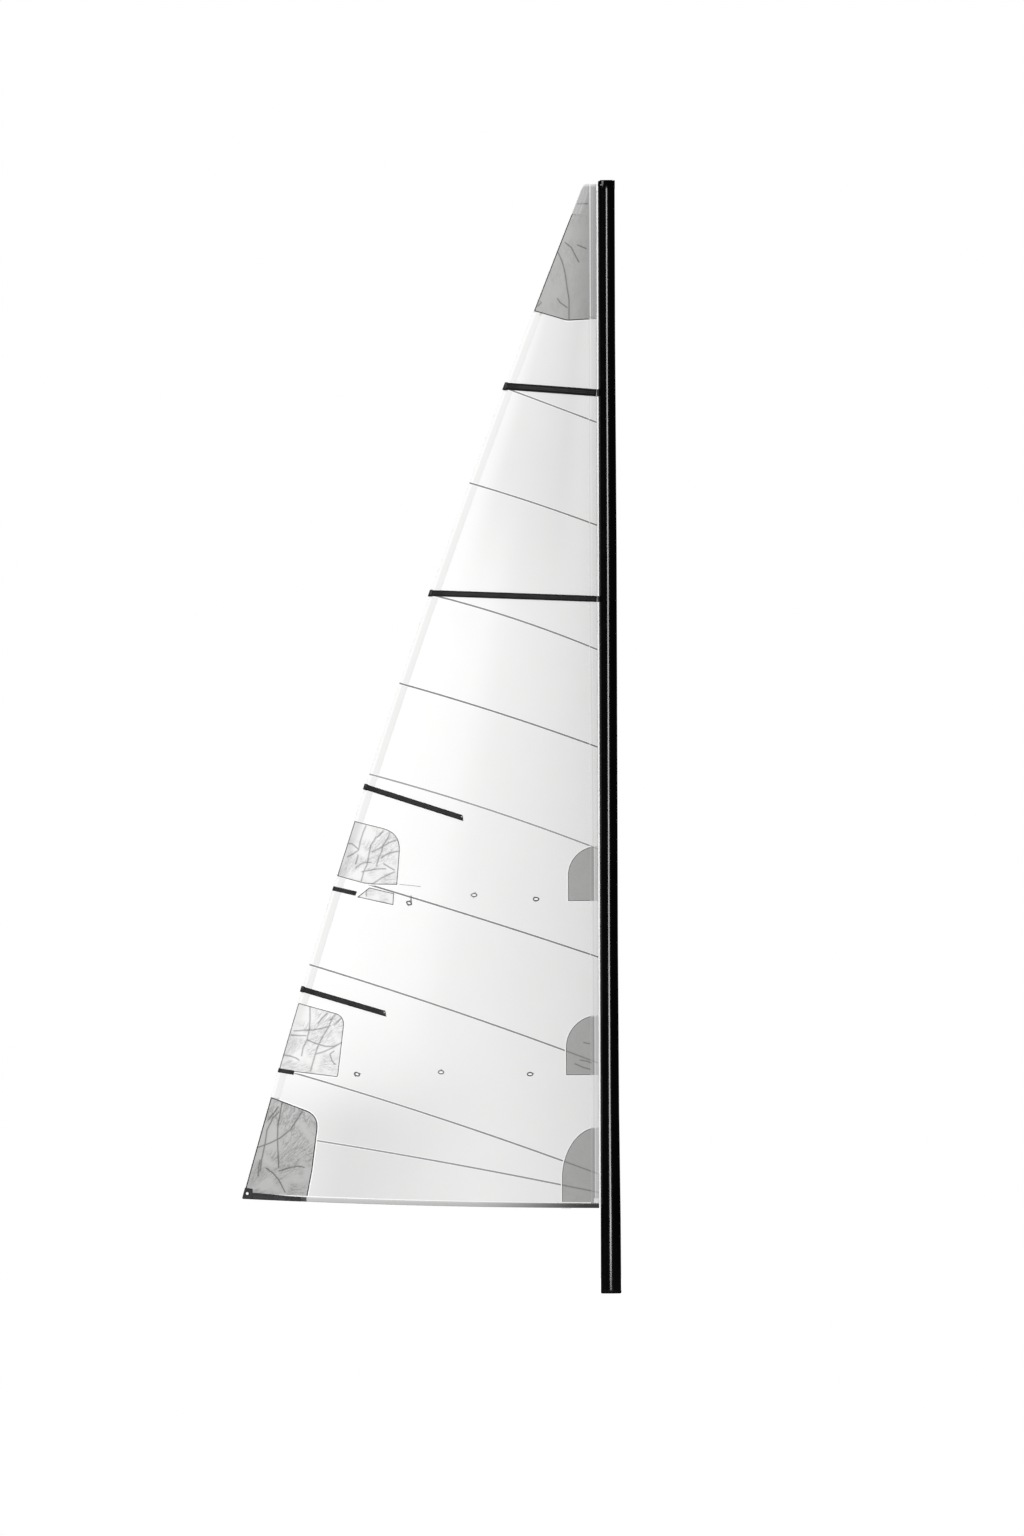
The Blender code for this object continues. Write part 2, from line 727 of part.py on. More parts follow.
def mast_head_cap():
    """Make the cap, with the slot for the sheave and the hole for its pin."""
    outline = ellipse_points(MAST_TOP_CHORD, MAST_BREADTH, MAST_SIDES)
    obj = prism("mast_head_cap", [outline], CAP_HEIGHT, BLACK_PLASTIC)
    add_bevel(obj, CAP_ROUNDING, only_above=CAP_HEIGHT / 2)
    obj.location.z = CAP_BASE
    spigot = prism("cap_spigot", [spigot_outline()], CAP_SPIGOT + CAP_HEIGHT / 3, None)
    spigot.location.z = CAP_BASE - CAP_SPIGOT
    joined(obj, spigot)

    forward = SHEAVE_X + SHEAVE_RADIUS + HALYARD_ROOM
    low = CAP_BASE - CAP_SPIGOT - OVERRUN
    high = MAST_LENGTH - CAP_ROOF
    box = bmesh.new()
    bmesh.ops.create_cube(box, size=1.0)
    mesh = bpy.data.meshes.new("sheave_slot")
    box.to_mesh(mesh)
    box.free()
    slot = make_cutter(new_object("sheave_slot", mesh, None))
    back = MAST_AFT_X - OVERRUN
    slot.location = ((back + forward) / 2, 0.0, (low + high) / 2)
    slot.scale = (forward - back, SHEAVE_SLOT, high - low)
    cut(obj, slot)

    wedge = make_cutter(new_object("halyard_lead_cut", mesh.copy(), None))
    tilt = math.atan2(CAP_AFT_DROP, CAP_AFT_CUT)
    size = 2 * MAST_TOP_CHORD
    wedge.rotation_euler = (0.0, -tilt, 0.0)
    wedge.scale = (size, size, size)
    edge = Vector((MAST_AFT_X + CAP_AFT_CUT, 0.0, MAST_LENGTH))
    outward = Vector((-math.sin(tilt), 0.0, math.cos(tilt)))
    wedge.location = edge + outward * size / 2
    cut(obj, wedge)

    bore = make_cutter(pin_rod("sheave_pin_bore", PIN_RADIUS + FIT_GAP, MAST_BREADTH, None))
    cut(obj, bore)
    return smooth(obj)


def pin_rod(name, radius, length, material):
    """Make a rod across the mast at the sheave's centre."""
    rod = bmesh.new()
    bmesh.ops.create_cone(
        rod, cap_ends=True, segments=PIN_SIDES, radius1=radius, radius2=radius, depth=length
    )
    mesh = bpy.data.meshes.new(name)
    rod.to_mesh(mesh)
    rod.free()
    obj = new_object(name, mesh, material)
    obj.location = (SHEAVE_X, 0.0, SHEAVE_Z)
    obj.rotation_euler = (math.pi / 2, 0.0, 0.0)
    return obj


def sheave_pin():
    """Make the pin, flush inside the cap's cheeks."""
    chord_share = 1.0 - 2.0 * (SHEAVE_X - MAST_AFT_X) / MAST_TOP_CHORD
    breadth = MAST_BREADTH * math.sqrt(1.0 - chord_share * chord_share)
    return smooth(pin_rod("sheave_pin", PIN_RADIUS, breadth - 2 * PIN_RECESS, STEEL))


def halyard_sheave():
    """Turn the grooved wheel about the pin."""
    half = SHEAVE_WIDTH / 2
    bore = PIN_RADIUS + FIT_GAP
    bottom = SHEAVE_RADIUS - SHEAVE_GROOVE
    profile = [(bore, half), (SHEAVE_RADIUS, half), (bottom, 0.0), (SHEAVE_RADIUS, -half), (bore, -half)]
    mesh = bpy.data.meshes.new("halyard_sheave")
    edges = [(index, (index + 1) % len(profile)) for index in range(len(profile))]
    mesh.from_pydata([(radius, 0.0, height) for radius, height in profile], edges, [])
    obj = new_object("halyard_sheave", mesh, BLACK_PLASTIC)
    obj.location = (SHEAVE_X, 0.0, SHEAVE_Z)
    obj.rotation_euler = (math.pi / 2, 0.0, 0.0)
    screw = obj.modifiers.new("turn", "SCREW")
    screw.steps = SHEAVE_STEPS
    screw.render_steps = SHEAVE_STEPS
    screw.use_merge_vertices = True
    screw.merge_threshold = MERGE_DISTANCE
    return obj


# Luff rope

def luff_bolt_rope():
    """Make the rope in the groove and the web of its tape, out to the sail's hinge line."""
    radius = ROPE_DIAMETER / 2
    half = ROPE_WEB / 2
    swing = math.asin(half / radius)
    outline = []
    for step in range(ROPE_STEPS + 1):
        angle = math.pi - swing - (2 * math.pi - 2 * swing) * step / ROPE_STEPS
        outline.append((GROOVE_X + radius * math.cos(angle), radius * math.sin(angle)))
    tip = LUFF_X + WEB_TIP_GAP
    outline.append((tip, -half))
    outline.append((tip, half))
    length = CAP_BASE - ROPE_TOP_CLEARANCE - TACK_HEIGHT
    obj = prism("luff_bolt_rope", [outline], length, ROPE_WHITE, LUFF_SLIDE)
    obj.location.z = TACK_HEIGHT
    return smooth(obj)


# Sail cloth

def seam_chord(index, u):
    """Height of a seam's straight chord at a distance aft of the luff."""
    height, rise, _ = SEAMS[index]
    return TACK_HEIGHT + height + rise * u


SEAM_ENDS = [leech_u(meet_leech(lambda u, seam=seam: seam_chord(seam, u))) for seam in range(len(SEAMS))]


def seam_smooth(index, u):
    """Height of a seam at a distance aft of the luff, bow included."""
    share = u / SEAM_ENDS[index]
    return seam_chord(index, u) + 4 * SEAMS[index][2] * share * (1 - share)


def seam_height(index, u):
    """Height of a seam, read as straight runs between the foot's knots."""
    return on_knots(u, FOOT_KNOTS, lambda knot: seam_smooth(index, knot))


def seam_run(index, start, end, lift):
    """Points along a seam from one distance aft to another, moved up from it."""
    return run(start, end, FOOT_KNOTS, lambda u: (u, seam_height(index, u) + lift))


def panel_limits(index, u):
    """Lower and upper edge of a panel at a distance aft of the luff."""
    low = foot_z(u) if index == 0 else seam_height(index - 1, u)
    high = HEAD_Z - HEADBOARD_HEIGHT if index == len(SEAMS) else seam_height(index, u)
    return low, high


def sail_panel(index):
    """Make one panel of cloth, between its two seams."""
    half_gap = SEAM_GAP / 2
    front = EDGE_INSET

    def top(u):
        return panel_limits(index, u)[1] - half_gap

    def bottom(u):
        return panel_limits(index, u)[0] + half_gap

    high = meet_leech(top, EDGE_INSET)
    if index == 0:
        low = meet_leech(lambda u: foot_z(u) + EDGE_INSET, EDGE_INSET)
        lower = foot_run(front, leech_u(low) - EDGE_INSET, EDGE_INSET)[:-1]
    else:
        low = meet_leech(bottom, EDGE_INSET)
        lower = seam_run(index - 1, front, leech_u(low) - EDGE_INSET, half_gap)[:-1]
    if index == len(SEAMS):
        upper = [(front, top(front))]
    else:
        upper = seam_run(index, leech_u(high) - EDGE_INSET, front, -half_gap)[1:]
    outline = [*lower, *leech_run(low, high, EDGE_INSET), *upper]
    return sheet("sail_panel_%02d" % (index + 1), outline, -CLOTH_HALF, CLOTH_HALF, SAILCLOTH)


def headboard():
    """Make the stiff plate inside the head."""
    low = HEAD_Z - HEADBOARD_HEIGHT + SEAM_GAP
    high = HEAD_Z - HEADBOARD_MARGIN / 2
    front = HEADBOARD_MARGIN
    outline = [(front, low), *leech_run(low, high, HEADBOARD_MARGIN), (front, high)]
    return sheet("headboard", outline, -HEADBOARD_HALF, HEADBOARD_HALF, BLACK_PLASTIC)


def luff_tape():
    """Make the tape folded round the luff, from the foot tape to the head."""
    low = TACK_HEIGHT + FOOT_TAPE_WIDTH + 2 * SEAM_GAP
    wide = LUFF_TAPE_WIDTH
    outline = [(0.0, low), (wide, low + foot_z(wide) - TACK_HEIGHT), (wide, HEAD_Z), (0.0, HEAD_Z)]
    below = low - OVERRUN
    above = HEAD_Z + OVERRUN
    beyond = wide + OVERRUN
    inside = [(FOLD_THICKNESS, below), (beyond, below), (beyond, above), (FOLD_THICKNESS, above)]
    return folded("luff_tape", outline, inside, TAPE_INNER, TAPE_OUTER, TAPE_CLOTH)


def leech_tape(passage):
    """Make the tape folded round the leech, which narrows beside the luff tape at the head."""
    def inner_edge(z):
        return (max(leech_u(z) - LEECH_TAPE_WIDTH, LUFF_TAPE_WIDTH + 2 * SEAM_GAP), z)

    edge = leech_run(CORNER_Z, HEAD_Z, 0.0)
    narrow_z = meet_height(LEECH_TAPE_WIDTH + LUFF_TAPE_WIDTH + 2 * SEAM_GAP)
    low_z = meet_leech(foot_z, LEECH_TAPE_WIDTH)
    knots = [z for z in LEECH_KNOTS if low_z + TOLERANCE < z < HEAD_Z - TOLERANCE]
    stops = sorted([low_z, *knots, narrow_z, HEAD_Z], reverse=True)
    front = [inner_edge(z) for z in stops]
    outline = [*edge, *front, *foot_run(front[-1][0], CORNER_U, 0.0)[1:-1]]
    below = CORNER_Z - 2 * OVERRUN
    above = HEAD_Z + OVERRUN
    fold = [(CORNER_U - FOLD_THICKNESS, below), *leech_run(CORNER_Z, above, FOLD_THICKNESS)]
    inside = [*fold, (-OVERRUN, above), (-OVERRUN, below)]
    return folded("leech_tape", outline, inside, TAPE_INNER, TAPE_OUTER, TAPE_CLOTH, passage)


def meet_height(width):
    """Height at which the sail is as wide as a given width."""
    low = TACK_HEIGHT
    high = HEAD_Z
    for _ in range(SEARCH_STEPS):
        middle = (low + high) / 2
        if leech_u(middle) > width:
            low = middle
        else:
            high = middle
    return (low + high) / 2


def foot_tape():
    """Make the tape folded round the foot, from the luff to the leech tape."""
    inset = LEECH_TAPE_WIDTH + 2 * SEAM_GAP
    low = meet_leech(foot_z, inset)
    high = meet_leech(lambda u: foot_z(u) + FOOT_TAPE_WIDTH, inset)
    back = leech_u(low) - inset
    lower = foot_run(0.0, back, 0.0)
    upper = foot_run(leech_u(high) - inset, 0.0, FOOT_TAPE_WIDTH)
    beyond = back + OVERRUN
    above = CLEW_Z + OVERRUN
    fold = foot_run(FOLD_THICKNESS, beyond, FOLD_THICKNESS)
    inside = [*fold, (beyond, above), (FOLD_THICKNESS, above)]
    return folded("foot_tape", [*lower, *upper], inside, TAPE_INNER, TAPE_OUTER, TAPE_CLOTH)


# Patches

def both_sides(name, outline, inner, outer, material):
    """Make a patch on each face of the sail."""
    starboard = sheet(name + "_starboard", outline, inner, outer, material, STARBOARD)
    port = sheet(name + "_port", outline, inner, outer, material, PORT)
    return [starboard, port]


def head_patch():
    """Make the patch over the headboard."""
    top = HEAD_Z - EDGE_INSET
    edge = leech_run(HEAD_Z - HEAD_PATCH_LEECH, top, EDGE_INSET)
    low = HEAD_Z - HEAD_PATCH_LOW
    luff = HEAD_Z - HEAD_PATCH_LUFF
    corner = (HEAD_PATCH_LOW_AFT, low, HEAD_PATCH_ROUNDING)
    lower = fillet([(EDGE_INSET, luff, 0.0), corner, (*edge[0], 0.0)])
    outline = [*lower, *edge[1:], (EDGE_INSET, top)]
    return both_sides("head_patch", outline, HEAD_PATCH_INNER, PATCH_OUTER, PATCH_CLOTH)


def luff_patch(name):
    """Make a patch at the luff with one rounded corner."""
    width, top, bottom, rounding = LUFF_PATCHES[name]
    centre = TACK_HEIGHT + top - rounding
    if bottom is None:
        lower = foot_run(EDGE_INSET, width, EDGE_INSET)
    else:
        lower = [(EDGE_INSET, TACK_HEIGHT + bottom), (width, TACK_HEIGHT + bottom)]
    arc = []
    for step in range(PATCH_CORNER_STEPS):
        angle = math.pi / 2 * step / PATCH_CORNER_STEPS
        arc.append((width * math.cos(angle), centre + rounding * math.sin(angle)))
    outline = [*lower, *arc, (EDGE_INSET, TACK_HEIGHT + top)]
    return both_sides(name, outline, PATCH_INNER, PATCH_OUTER, PATCH_CLOTH)


def from_leech(corner):
    """Turn a corner measured from the leech and the tack into an outline's corner."""
    inward, height, rounding = corner
    z = TACK_HEIGHT + height
    return (leech_u(z) - max(inward, EDGE_INSET), z, rounding)


def leech_patch(name, corners, material):
    """Make a patch that ends on the leech at both ends."""
    front = fillet([from_leech(corner) for corner in corners])
    edge = leech_run(front[-1][1], front[0][1], EDGE_INSET)
    return both_sides(name, [*front, *edge[1:-1]], PATCH_INNER, PATCH_OUTER, material)


def clew_patch(passage):
    """Make the patch at the clew, whose lower edge is the foot."""
    corners = [from_leech(corner) for corner in CLEW_PATCH]
    foot_u = CORNER_U - CLEW_PATCH_FOOT
    corners.append((foot_u, foot_z(foot_u) + EDGE_INSET, 0.0))
    front = fillet(corners)
    low = meet_leech(lambda u: foot_z(u) + EDGE_INSET, EDGE_INSET)
    foot = foot_run(foot_u, leech_u(low) - EDGE_INSET, EDGE_INSET)
    edge = leech_run(low, front[0][1], EDGE_INSET)
    outline = [*front, *foot[1:-1], *edge[:-1]]
    for patch in both_sides("clew_patch", outline, PATCH_INNER, PATCH_OUTER, PATCH_CLOTH):
        cut(patch, passage)


# Battens

class PocketLine:
    """Straight line along which a batten lies, seen from the side, and its true bend."""

    def __init__(self, height, rise, start, width):
        self.rise = math.atan(rise)
        self.height = TACK_HEIGHT + height
        self.slope = rise
        self.start = start
        self.width = width
        self.along = Vector((-math.cos(self.rise), 0.0, math.sin(self.rise)))
        self.across = Vector((math.sin(self.rise), 0.0, math.cos(self.rise)))
        self.first = start / math.cos(self.rise)
        leech_z = meet_leech(lambda u: self.height + self.slope * u)
        self.leech = leech_u(leech_z) / math.cos(self.rise)
        self.mouth = self.leech - POCKET_SETBACK
        self.batten_start = self.first + POCKET_END + BATTEN_END_PLAY
        self.batten_end = self.leech + END_CAP_PROUD - END_CAP_WALL
        self.fit_circle()

    def place(self, distance):
        """Point (u, z) at a distance along the line from the luff."""
        return (distance * math.cos(self.rise), self.height + distance * math.sin(self.rise))

    def depth(self, distance):
        """Y of the batten's middle at a distance along the line."""
        u, z = self.place(distance)
        return cloth_y(u, z, faceted=False) - BATTEN_MIDDLE

    def fit_circle(self):
        """Find the circle through the batten's two ends and its middle."""
        middle = (self.batten_start + self.batten_end) / 2
        first, second, third = (
            Vector((distance, self.depth(distance)))
            for distance in (self.batten_start, middle, self.batten_end)
        )
        ahead = second - first
        far = third - first
        cross = 2 * (ahead.x * far.y - ahead.y * far.x)
        across = far.y * ahead.length_squared - ahead.y * far.length_squared
        up = ahead.x * far.length_squared - far.x * ahead.length_squared
        self.centre = first + Vector((across / cross, up / cross))
        self.radius = (first - self.centre).length

    def frame(self):
        """Matrix whose X runs along the line, Y across the sail, and origin is the bend's centre."""
        x_axis = self.along
        y_axis = Vector((0.0, 1.0, 0.0))
        z_axis = x_axis.cross(y_axis)
        origin = x_axis * self.centre.x + Vector((0.0, self.centre.y, self.height))
        matrix = Matrix((x_axis, y_axis, z_axis)).transposed().to_4x4()
        matrix.translation = origin
        return matrix

    def angle(self, distance):
        """Angle about the bend's centre at a distance along the line, 0 straight to starboard."""
        return math.asin((distance - self.centre.x) / self.radius)

    def band(self, start, end, width):
        """Four corners of a straight band along the line."""
        corners = []
        for distance, side in ((start, -1), (end, -1), (end, 1), (start, 1)):
            u, z = self.place(distance)
            reach = side * width / 2
            corners.append((u - reach * self.across.x, z + reach * self.across.z))
        return corners


def bent_bar(name, line, grown=0.0, material=None):
    """Make a bar bent to a batten's circle, grown on every side, with its origin on the bend's axis."""
    extra = grown / line.radius
    low = line.angle(line.batten_start) - extra
    high = line.angle(line.batten_end) + extra
    angles = [low + (high - low) * step / BATTEN_STEPS for step in range(BATTEN_STEPS + 1)]
    half = BATTEN_THICKNESS / 2 + grown
    outside = [(line.radius + half, angle) for angle in angles]
    inside = [(line.radius - half, angle) for angle in reversed(angles)]
    outline = [(radius * math.sin(angle), -radius * math.cos(angle)) for radius, angle in outside + inside]
    width = BATTEN_WIDTH + 2 * grown
    obj = prism(name, [outline], width, material, SAIL_HINGE)
    down = (0.0, 0.0, -width / 2)
    edit_mesh(obj, lambda shape: bmesh.ops.translate(shape, verts=shape.verts, vec=down))
    obj.matrix_basis = line.frame()
    return obj


def batten_set(number, line):
    """Make a pocket, its batten and the cap that holds the batten's end at the leech."""
    name = "batten_pocket_%d" % number
    outer = line.band(line.first, line.mouth, line.width)
    pocket = sheet(name, outer, WEBBING_INNER, POCKET_OUTER, BLACK_WEBBING, STARBOARD)
    cavity = line.band(line.first + POCKET_END, line.mouth + OVERRUN, line.width - 2 * POCKET_MARGIN)
    cut(pocket, make_cutter(sheet(name + "_cavity", cavity, POCKET_BASE, POCKET_COVER, None, STARBOARD)))
    bent_bar("batten_%d" % number, line, 0.0, GLASS_FIBRE)
    name = "batten_end_cap_%d" % number
    outer = line.band(line.mouth + FIT_GAP, line.leech + END_CAP_PROUD, line.width + 2 * END_CAP_MARGIN)
    cap = sheet(name, outer, WEBBING_INNER, POCKET_OUTER + FIT_GAP, BLACK_PLASTIC, STARBOARD)
    cut(cap, make_cutter(bent_bar(name + "_socket", line, FIT_GAP)))


# Webbing, clew and eyelets

def leech_strap(name, height, length, width, fall):
    """Make a strap folded round the leech and sewn to both faces."""
    z = TACK_HEIGHT + height
    half = width / 2
    aft = leech_u(z)
    out = WEBBING_THICKNESS + LAYER_GAP
    front = aft - length
    drop = fall * length
    outline = [
        (front, z + drop - half),
        (leech_u(z - half) + out, z - half),
        (leech_u(z + half) + out, z + half),
        (front, z + drop + half),
    ]
    low = z - 3 * half + drop
    high = z + 3 * half
    ahead = front - OVERRUN
    inside = [(ahead, low), *leech_run(low, high, -LAYER_GAP), (ahead, high)]
    return folded(name, outline, inside, WEBBING_INNER, WEBBING_OUTER, BLACK_WEBBING)


def clew_cover(passage):
    """Make the chafe cover folded round the clew."""
    out = WEBBING_THICKNESS + LAYER_GAP
    front = CORNER_U - CLEW_COVER_LENGTH
    top = TACK_HEIGHT + CLEW_COVER_HEIGHT
    low = meet_leech(lambda u: foot_z(u) - out, -out)
    aft = leech_u(low) + out
    corners = [
        (front, foot_z(front) - out, 0.0),
        (aft, low, CLEW_COVER_ROUNDING),
        (leech_u(top) + out, top, 0.0),
    ]
    outline = [*fillet(corners), (front, TACK_HEIGHT + CLEW_COVER_FRONT)]
    inner_low = meet_leech(lambda u: foot_z(u) - LAYER_GAP, -LAYER_GAP)
    inner_aft = leech_u(inner_low) + LAYER_GAP
    ahead = front - OVERRUN
    above = top + OVERRUN
    inside = [
        (ahead, foot_z(ahead) - LAYER_GAP),
        (inner_aft, inner_low),
        (leech_u(above) + LAYER_GAP, above),
        (ahead, above),
    ]
    return folded("clew_cover", outline, inside, WEBBING_INNER, WEBBING_OUTER, BLACK_WEBBING, passage)


def clew_foot_strap():
    """Make the strap folded round the foot, forward of the clew cover."""
    out = WEBBING_THICKNESS + LAYER_GAP
    aft = CORNER_U - CLEW_COVER_LENGTH - 2 * SEAM_GAP
    front = aft - CLEW_STRAP_LENGTH
    outline = [
        *foot_run(front, aft, -out),
        (aft, foot_z(aft) + CLEW_STRAP_AFT_HEIGHT),
        (front, foot_z(front) + CLEW_STRAP_FRONT_HEIGHT),
    ]
    ahead = front - OVERRUN
    behind = aft + OVERRUN
    above = CLEW_Z + OVERRUN
    inside = [*foot_run(ahead, behind, -LAYER_GAP), (behind, above), (ahead, above)]
    return folded("clew_foot_strap", outline, inside, WEBBING_INNER, WEBBING_OUTER, BLACK_WEBBING)


def tack_webbing():
    """Make the small block of webbing on the luff tape, above the foot tape."""
    low = TACK_HEIGHT + FOOT_TAPE_WIDTH + 4 * SEAM_GAP
    high = low + TACK_WEBBING_HEIGHT
    front = 2 * EDGE_INSET
    outline = [(front, low), (TACK_WEBBING_WIDTH, low), (TACK_WEBBING_WIDTH, high), (front, high)]
    return sheet("tack_webbing", outline, WEBBING_INNER, WEBBING_OUTER, TAPE_CLOTH, STARBOARD)


def clew_oval(radius):
    """Circle about the middle of the clew ring."""
    return oval(CORNER_U - CLEW_RING_FROM_CORNER, CORNER_Z + CLEW_RING_RISE, 2 * radius, 2 * radius)


def clew_ring():
    """Make the ring that the outhaul pulls on."""
    rim = clew_oval(CLEW_RING_FLANGE)
    barrel = clew_oval(CLEW_RING_BARREL)
    hole = clew_oval(CLEW_RING_HOLE)
    ring("clew_ring", rim, barrel, hole, WEBBING_OUTER + LAYER_GAP, EYELET_METAL)


def reef_eyelet(name, panels):
    """Make an oval eyelet and cut its hole in the panels that it meets."""
    u, height, turn = REEF_EYELETS[name]
    z = TACK_HEIGHT + height
    rim = oval(u, z, EYELET_LENGTH, EYELET_HEIGHT, turn)
    inset = 2 * EYELET_RIM
    barrel = oval(u, z, EYELET_LENGTH - inset, EYELET_HEIGHT - inset, turn)
    bore = inset + 2 * EYELET_BARREL_WALL
    hole = oval(u, z, EYELET_LENGTH - bore, EYELET_HEIGHT - bore, turn)
    ring(name, rim, barrel, hole, CLOTH_HALF + LAYER_GAP, EYELET_METAL)
    grown = inset - 4 * LAYER_GAP
    outline = oval(u, z, EYELET_LENGTH - grown, EYELET_HEIGHT - grown, turn)
    through = punch(name + "_passage", outline)
    for index, panel in enumerate(panels):
        low, high = panel_limits(index, u)
        if low - EYELET_LENGTH < z < high + EYELET_LENGTH:
            cut(panel, through)


# Assembly

mast_tube()
mast_heel_plug()
mast_head_cap()
sheave_pin()
halyard_sheave()

LUFF_SLIDE = new_empty("luff_slide", (0.0, 0.0, 0.0))
SAIL_HINGE = new_empty("sail_hinge", (LUFF_X, 0.0, 0.0), LUFF_SLIDE)
luff_bolt_rope()

all_panels = [sail_panel(index) for index in range(len(SEAMS) + 1)]
headboard()
luff_tape()
clew_passage = punch("clew_passage", clew_oval(CLEW_RING_BARREL + 2 * LAYER_GAP))
for low_panel in all_panels[:2]:
    cut(low_panel, clew_passage)
leech_tape(clew_passage)
foot_tape()
head_patch()
for patch_name in LUFF_PATCHES:
    luff_patch(patch_name)
clew_patch(clew_passage)
leech_patch("reef_1_clew_patch", REEF_1_CLEW_PATCH, REEF_CLOTH)
leech_patch("reef_2_clew_patch", REEF_2_CLEW_PATCH, REEF_CLOTH)

for pocket_number, pocket in enumerate(POCKETS, start=1):
    batten_set(pocket_number, PocketLine(*pocket))

for strap in REEF_STRAPS:
    leech_strap(*strap)
clew_foot_strap()
tack_webbing()
clew_cover(clew_passage)
clew_ring()
for eyelet_name in REEF_EYELETS:
    reef_eyelet(eyelet_name, all_panels)
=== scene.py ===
"""Looks of a battened mainsail on its mast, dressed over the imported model, in metres.

+Z is up, +X is forward, and the belly of the sail is to starboard, towards -Y. A point of the cloth is
given by its distance aft of the luff (u), its height (z) and its distance from the middle of the cloth.
Every layer is laid over the same smooth belly and the same small hills, so the layers never meet.
"""
import logging
import math
from dataclasses import dataclass
from enum import Enum
from typing import Callable, Optional, Sequence

import bmesh
import bpy
import numpy as np
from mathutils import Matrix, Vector


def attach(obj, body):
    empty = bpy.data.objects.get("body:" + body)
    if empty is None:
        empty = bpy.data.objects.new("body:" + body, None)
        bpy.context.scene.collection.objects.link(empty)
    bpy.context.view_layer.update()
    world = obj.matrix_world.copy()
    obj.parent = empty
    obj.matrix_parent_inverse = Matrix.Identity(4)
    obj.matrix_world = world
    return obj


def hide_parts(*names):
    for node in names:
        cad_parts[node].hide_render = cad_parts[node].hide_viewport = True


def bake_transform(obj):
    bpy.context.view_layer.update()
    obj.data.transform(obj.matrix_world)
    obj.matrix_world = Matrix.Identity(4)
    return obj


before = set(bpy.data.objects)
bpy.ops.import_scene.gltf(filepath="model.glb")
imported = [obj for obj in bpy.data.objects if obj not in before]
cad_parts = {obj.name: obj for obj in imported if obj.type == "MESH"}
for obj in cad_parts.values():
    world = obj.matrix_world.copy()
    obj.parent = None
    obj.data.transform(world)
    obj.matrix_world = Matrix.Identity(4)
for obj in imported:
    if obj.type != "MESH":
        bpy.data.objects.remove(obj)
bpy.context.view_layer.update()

LOG = logging.getLogger("mainsail")
Point = tuple[float, float]
Array = np.ndarray
Marks = dict[str, Array]
Colour = tuple[float, float, float]
Corner = tuple[float, float, float]
Faces = list[list[int]]
Place = Callable[[Array, Array], tuple[Array, Array]]
Tone = Callable[[Array, Array, Array], Array]
Thing = bpy.types.Object
Socket = bpy.types.NodeSocket


class Side(Enum):
    """Face of the sail that a layer lies on."""

    STARBOARD = -1
    PORT = 1

    @property
    def label(self) -> str:
        """Word for the side in the name of a piece."""
        return self.name.lower()


# Shape of the sail


@dataclass(frozen=True)
class SailShape:
    """Outline and belly of the sail, the same as in the CAD source."""

    luff_x: float = -0.105
    tack_z: float = 0.755
    luff: float = 9.043
    head_width: float = 0.116
    foot: float = 3.143
    clew_rise: float = 0.124
    foot_rise: float = 0.090
    roach: float = 0.140
    foot_round: float = 0.015
    camber: float = 0.085

    @property
    def head_z(self) -> float:
        """Height of the head."""
        return self.tack_z + self.luff

    @property
    def clew_z(self) -> float:
        """Height at which the leech's chord has the length of the foot."""
        return self.tack_z + self.clew_rise

    @property
    def slope(self) -> float:
        """Widening of the sail for each metre down from the head."""
        return (self.foot - self.head_width) / (self.head_z - self.clew_z)

    @property
    def apex_z(self) -> float:
        """Height at which the luff and the leech's chord would meet."""
        return self.head_z + self.head_width / self.slope

    def leech(self, z: Array) -> Array:
        """Distance aft of the luff to the leech at a height."""
        share = (z - self.clew_z) / (self.head_z - self.clew_z)
        chord = self.foot + (self.head_width - self.foot) * share
        return chord + 4 * self.roach * share * (1 - share)

    def foot_line(self, u: Array) -> Array:
        """Height of the foot at a distance aft of the luff."""
        share = u / self.foot
        return self.tack_z + self.foot_rise * share - 4 * self.foot_round * share * (1 - share)

    def belly(self, u: Array, z: Array) -> Array:
        """Y of the middle of the smooth cloth."""
        down = self.apex_z - z
        half = self.slope / 2
        depth = self.camber * self.slope
        radius = (half * half + depth * depth) / (2 * depth)
        return -down * (np.sqrt(radius * radius - (u / down - half) ** 2) - (radius - depth))

    def meet_leech(self, line: Callable[[float], float], inset: float = 0.0) -> Point:
        """Point where a line across the sail meets the leech.

        Args:
            line: height of the line at a distance aft of the luff.
            inset: distance that the leech is moved in.

        Returns:
            The point as (u, z).
        """
        u = self.foot
        for _ in range(30):
            u = float(self.leech(line(u))) - inset
        return u, float(line(u))


SAIL = SailShape()

# Seams: height above the tack at the luff, rise for each metre aft, and bow

SEAMS: tuple[tuple[float, float, float], ...] = (
    (0.137, 0.182, 0.024),
    (0.299, 0.333, 0.033),
    (1.279, 0.344, 0.026),
    (2.216, 0.316, 0.014),
    (3.171, 0.330, 0.031),
    (4.070, 0.325, 0.019),
    (4.930, 0.333, 0.031),
    (6.028, 0.336, 0.011),
    (6.937, 0.379, 0.0),
    (7.850, 0.320, 0.0),
)

# Reef eyelets: distance aft of the luff, height above the tack, and turn in degrees

